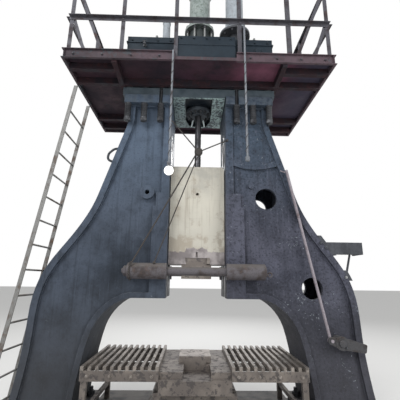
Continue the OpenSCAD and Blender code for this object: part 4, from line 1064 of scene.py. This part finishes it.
# %% Ladder welds
LADDER_FOOT_X, LADDER_HEAD_X, LADDER_RISE = -2.3309, -1.7109, 4.248
FIRST_RUNG, RUNG_STEP, RUNG_COUNT, RUNG_RADIUS = 0.22, 0.305, 13, 0.0135
lean = (LADDER_HEAD_X - LADDER_FOOT_X) / LADDER_RISE
rings_of_weld = []
for z in (FIRST_RUNG + RUNG_STEP * i for i in range(RUNG_COUNT)):
    x = LADDER_FOOT_X + lean * z
    for y in (-0.3925, 0.1325):
        loop = [(x + RUNG_RADIUS * cos(k * tau / 6), y,
                 z + RUNG_RADIUS * sin(k * tau / 6)) for k in range(7)]
        rings_of_weld += list(zip(loop, loop[1:]))
ladder_weld = weld("ladder_rung_welds", rings_of_weld, 0.0045, LADDER_STEEL, seed=3)
print("ladder welds:", len(ladder_weld.data.polygons), "faces")

# %% [markdown]
# Lamps hang from thin conduit. A cable winds round each one, and the socket above the
# bulb is moulded with ribs.

# %% Lamps
POLE_Y, CABLE_TOP, CABLE_RADIUS, CABLE_TURNS = -1.0263, 4.235, 0.0155, 9
LAMPS = {"left": (-0.33, 2.93, 0.0245, 0.0262), "right": (0.545, 3.006, 0.0262, 0.028)}
RIB_DROPS = (0.05, 0.036, 0.022)


def wound(x, z_low):
    steps = CABLE_TURNS * 12
    return [(x + CABLE_RADIUS * cos(tau * i / 12),
             POLE_Y + CABLE_RADIUS * sin(tau * i / 12),
             z_low + (CABLE_TOP - z_low) * i / steps) for i in range(steps + 1)]


def rib(shoulder, crest):
    return [(0, -0.003), (shoulder, -0.003), (crest, 0), (shoulder, 0.003), (0, 0.003)]


made = [bar(hand + "_lamp_cable", [wound(x, low)], 0.0034, ROPE, sides=6)
        for hand, (x, low, _, _) in LAMPS.items()]
made += [turned(hand + "_socket_ribs", [(x, POLE_Y, low - drop) for drop in RIB_DROPS],
                rib(shoulder, crest), UP, POLE_STEEL, steps=20)
         for hand, (x, low, shoulder, crest) in LAMPS.items()]
tell("lamps", made)

# %% [markdown]
# The stretchers are locked with thin nuts on their ends. The work tables are bolted
# through their aprons, and four turns of thin rope bind the hauling rope at its knot.

# %% Stretchers, tables and rope
STRETCHER_NUT, APRON_BOLT = (0.105, 0.034), (0.03, 0.018)
END_X, BAR_Y, BAR_Z = 0.8293, 0.4705, 1.745
APRON_Z, APRON_X, APRON_FRONT, APRON_REAR = 0.655, 1.215, -0.65, 0.53
KNOT_X, KNOT_Y, KNOT_Z, KNOT_RADIUS, KNOT_LENGTH, KNOT_STEPS = 0.005, -0.422, 3.3, 0.047, 0.044, 64
apron_xs = [s * x for s in (-1, 1) for x in (0.46, 0.68, 0.9, 1.14)]
apron_ys = (-0.5, -0.2, 0.1, 0.4)
aprons = {
    "apron_bolts_front": ([(x, APRON_FRONT, APRON_Z) for x in apron_xs], FRONT, "left"),
    "apron_bolts_rear": ([(x, APRON_REAR, APRON_Z) for x in apron_xs], REAR, "left"),
    "apron_bolts_sides": ([(-APRON_X, y, APRON_Z) for y in apron_ys], LEFT, "left"),
    "apron_bolts_sides_right": ([(APRON_X, y, APRON_Z) for y in apron_ys], RIGHT, "right"),
}
binding = [(KNOT_X + KNOT_RADIUS * cos(tau * i / 16),
            KNOT_Y + KNOT_LENGTH * i / KNOT_STEPS,
            KNOT_Z + KNOT_RADIUS * sin(tau * i / 16)) for i in range(KNOT_STEPS + 1)]
made = [
    nuts("stretcher_nuts_left", [(-END_X, -BAR_Y, BAR_Z), (-END_X, BAR_Y, BAR_Z)], LEFT,
         STRETCHER_NUT, STRETCHER_STEEL, "front_stretcher", washer=BARE, stud=0.5),
    nuts("stretcher_nut_right", [(END_X, BAR_Y, BAR_Z)], RIGHT, STRETCHER_NUT, STRETCHER_STEEL,
         "rear_stretcher", washer=BARE, stud=0.5),
]
made += [nuts(name, spots, facing, APRON_BOLT, BAR_STEEL, hand + "_work_table", stud=0.4)
         for name, (spots, facing, hand) in aprons.items()]
made.append(bar("knot_winding", [binding], 0.007, ROPE, sides=8))
tell("frames and tables", made)

# %% [markdown]
# The control gear wears most. Its pivot has a nut, the link a split pin, the hub a grip
# screw, and the tall rod ends in an eye with a short pin that goes to the valve.

# %% Control gear
PIVOT_X, PIVOT_Z, LINK_X, LINK_Z = 1.68, 0.96, 1.5675, 0.9839
PIVOT_Y, HUB_Y, LINK_Y, PAD_Y, ROD_END_Y = -0.4768, -0.4762, -0.4752, -0.3652, -0.42
split_pin = [(LINK_X + x, LINK_Y, LINK_Z + z) for x, z in ((-0.026, -0.012), (0.026, 0.012),
                                                           (0.034, 0.004))]
rod_end = [(1.144, ROD_END_Y, 3.03), (1.098, ROD_END_Y, 3.04), (1.08, ROD_END_Y, 3.052)]
made = [
    nuts("pivot_nut", [(PIVOT_X, PIVOT_Y, PIVOT_Z)], FRONT, (0.066, 0.017), LEVER_STEEL,
         "lever_bracket", washer=BARE, stud=FLUSH, spin=0.3),
    nuts("hub_screw", [(PIVOT_X + 0.042, HUB_Y, PIVOT_Z - 0.045)], FRONT, (0.022, 0.014),
         BOLT_STEEL, "control_lever", body="lever", stud=0.4),
    bar("link_split_pin", [split_pin[:2], split_pin[1:]], 0.003, BOLT_STEEL,
        body="rod", sides=8),
    bar("rod_end_pin", [rod_end], 0.0085, ROD_STEEL, body="rod"),
    nuts("arm_pad_bolts", [(1.56, PAD_Y, 2.12), (1.622, PAD_Y, 2.06)], FRONT, (0.036, 0.024),
         DARK_IRON, "side_arm", stud=0.5),
    nuts("brace_foot_bolt", [(1.842, PAD_Y, 1.7)], FRONT, (0.032, 0.02), STUD_STEEL,
         "side_arm_brace", stud=0.4),
]
tell("control gear", made)

# %% [markdown]
# ## Floor and light
#
# A plain pale floor and a pale world, with three broad soft lamps at a level where a
# colour renders as it was written. The camera sees pure white behind; so do glossy
# rays, so that bare steel has something bright to reflect.

# %% Studio
FLOOR_REACH = 60
WORLD_LIGHT = 0.55


def area(name, place, aim, size, power):
    data = bpy.data.lights.new(name, "AREA")
    data.shape = "RECTANGLE"
    data.size, data.size_y = size
    data.energy = power
    lamp = add_object(name, data)
    lamp.location = place
    lamp.rotation_euler = (Vector(aim) - Vector(place)).to_track_quat("-Z", "Y").to_euler()
    return lamp


world = bpy.data.worlds.new("pale_world")
bpy.context.scene.world = world
world.use_nodes = True
sky = Graph(world.node_tree)
sky.tree.nodes.clear()
ray = sky.node("ShaderNodeLightPath", output="Is Camera Ray")
mirror = sky.other(ray, "Is Glossy Ray")
through = sky.other(ray, "Is Transmission Ray")
seen = sky.node("ShaderNodeMath", {"operation": "MAXIMUM"}, {0: ray, 1: through})
seen = sky.node("ShaderNodeMath", {"operation": "MAXIMUM"}, {0: seen, 1: mirror * 0.75})
strength = WORLD_LIGHT + seen * (1 - WORLD_LIGHT)
back = sky.node("ShaderNodeBackground", {}, {"Color": (1.0, 1.0, 1.0, 1.0), "Strength": strength})
sky.node("ShaderNodeOutputWorld", {}, {"Surface": back})

corners = [(x * FLOOR_REACH, y * FLOOR_REACH, 0) for x, y in ((-1, -1), (1, -1), (1, 1), (-1, 1))]
ground_mesh = bpy.data.meshes.new("pale_floor")
ground_mesh.from_pydata(corners, [], [(0, 1, 2, 3)])
ground = add_object("pale_floor", ground_mesh)
floor = Finish("pale_floor_paint")
ground_mesh.materials.append(floor.surface((0.8, 0.8, 0.79), 0.9))

area("key_lamp", (-5.5, -8.0, 8.5), (0, 0, 3.0), (5.0, 5.0), 680)
area("fill_lamp", (6.5, -7.0, 4.0), (0, 0, 2.6), (5.0, 4.0), 310)
area("rim_lamp", (1.5, 7.5, 8.0), (0, 0, 3.5), (5.0, 4.0), 400)
bpy.context.scene.view_settings.view_transform = "Standard"

# %% [markdown]
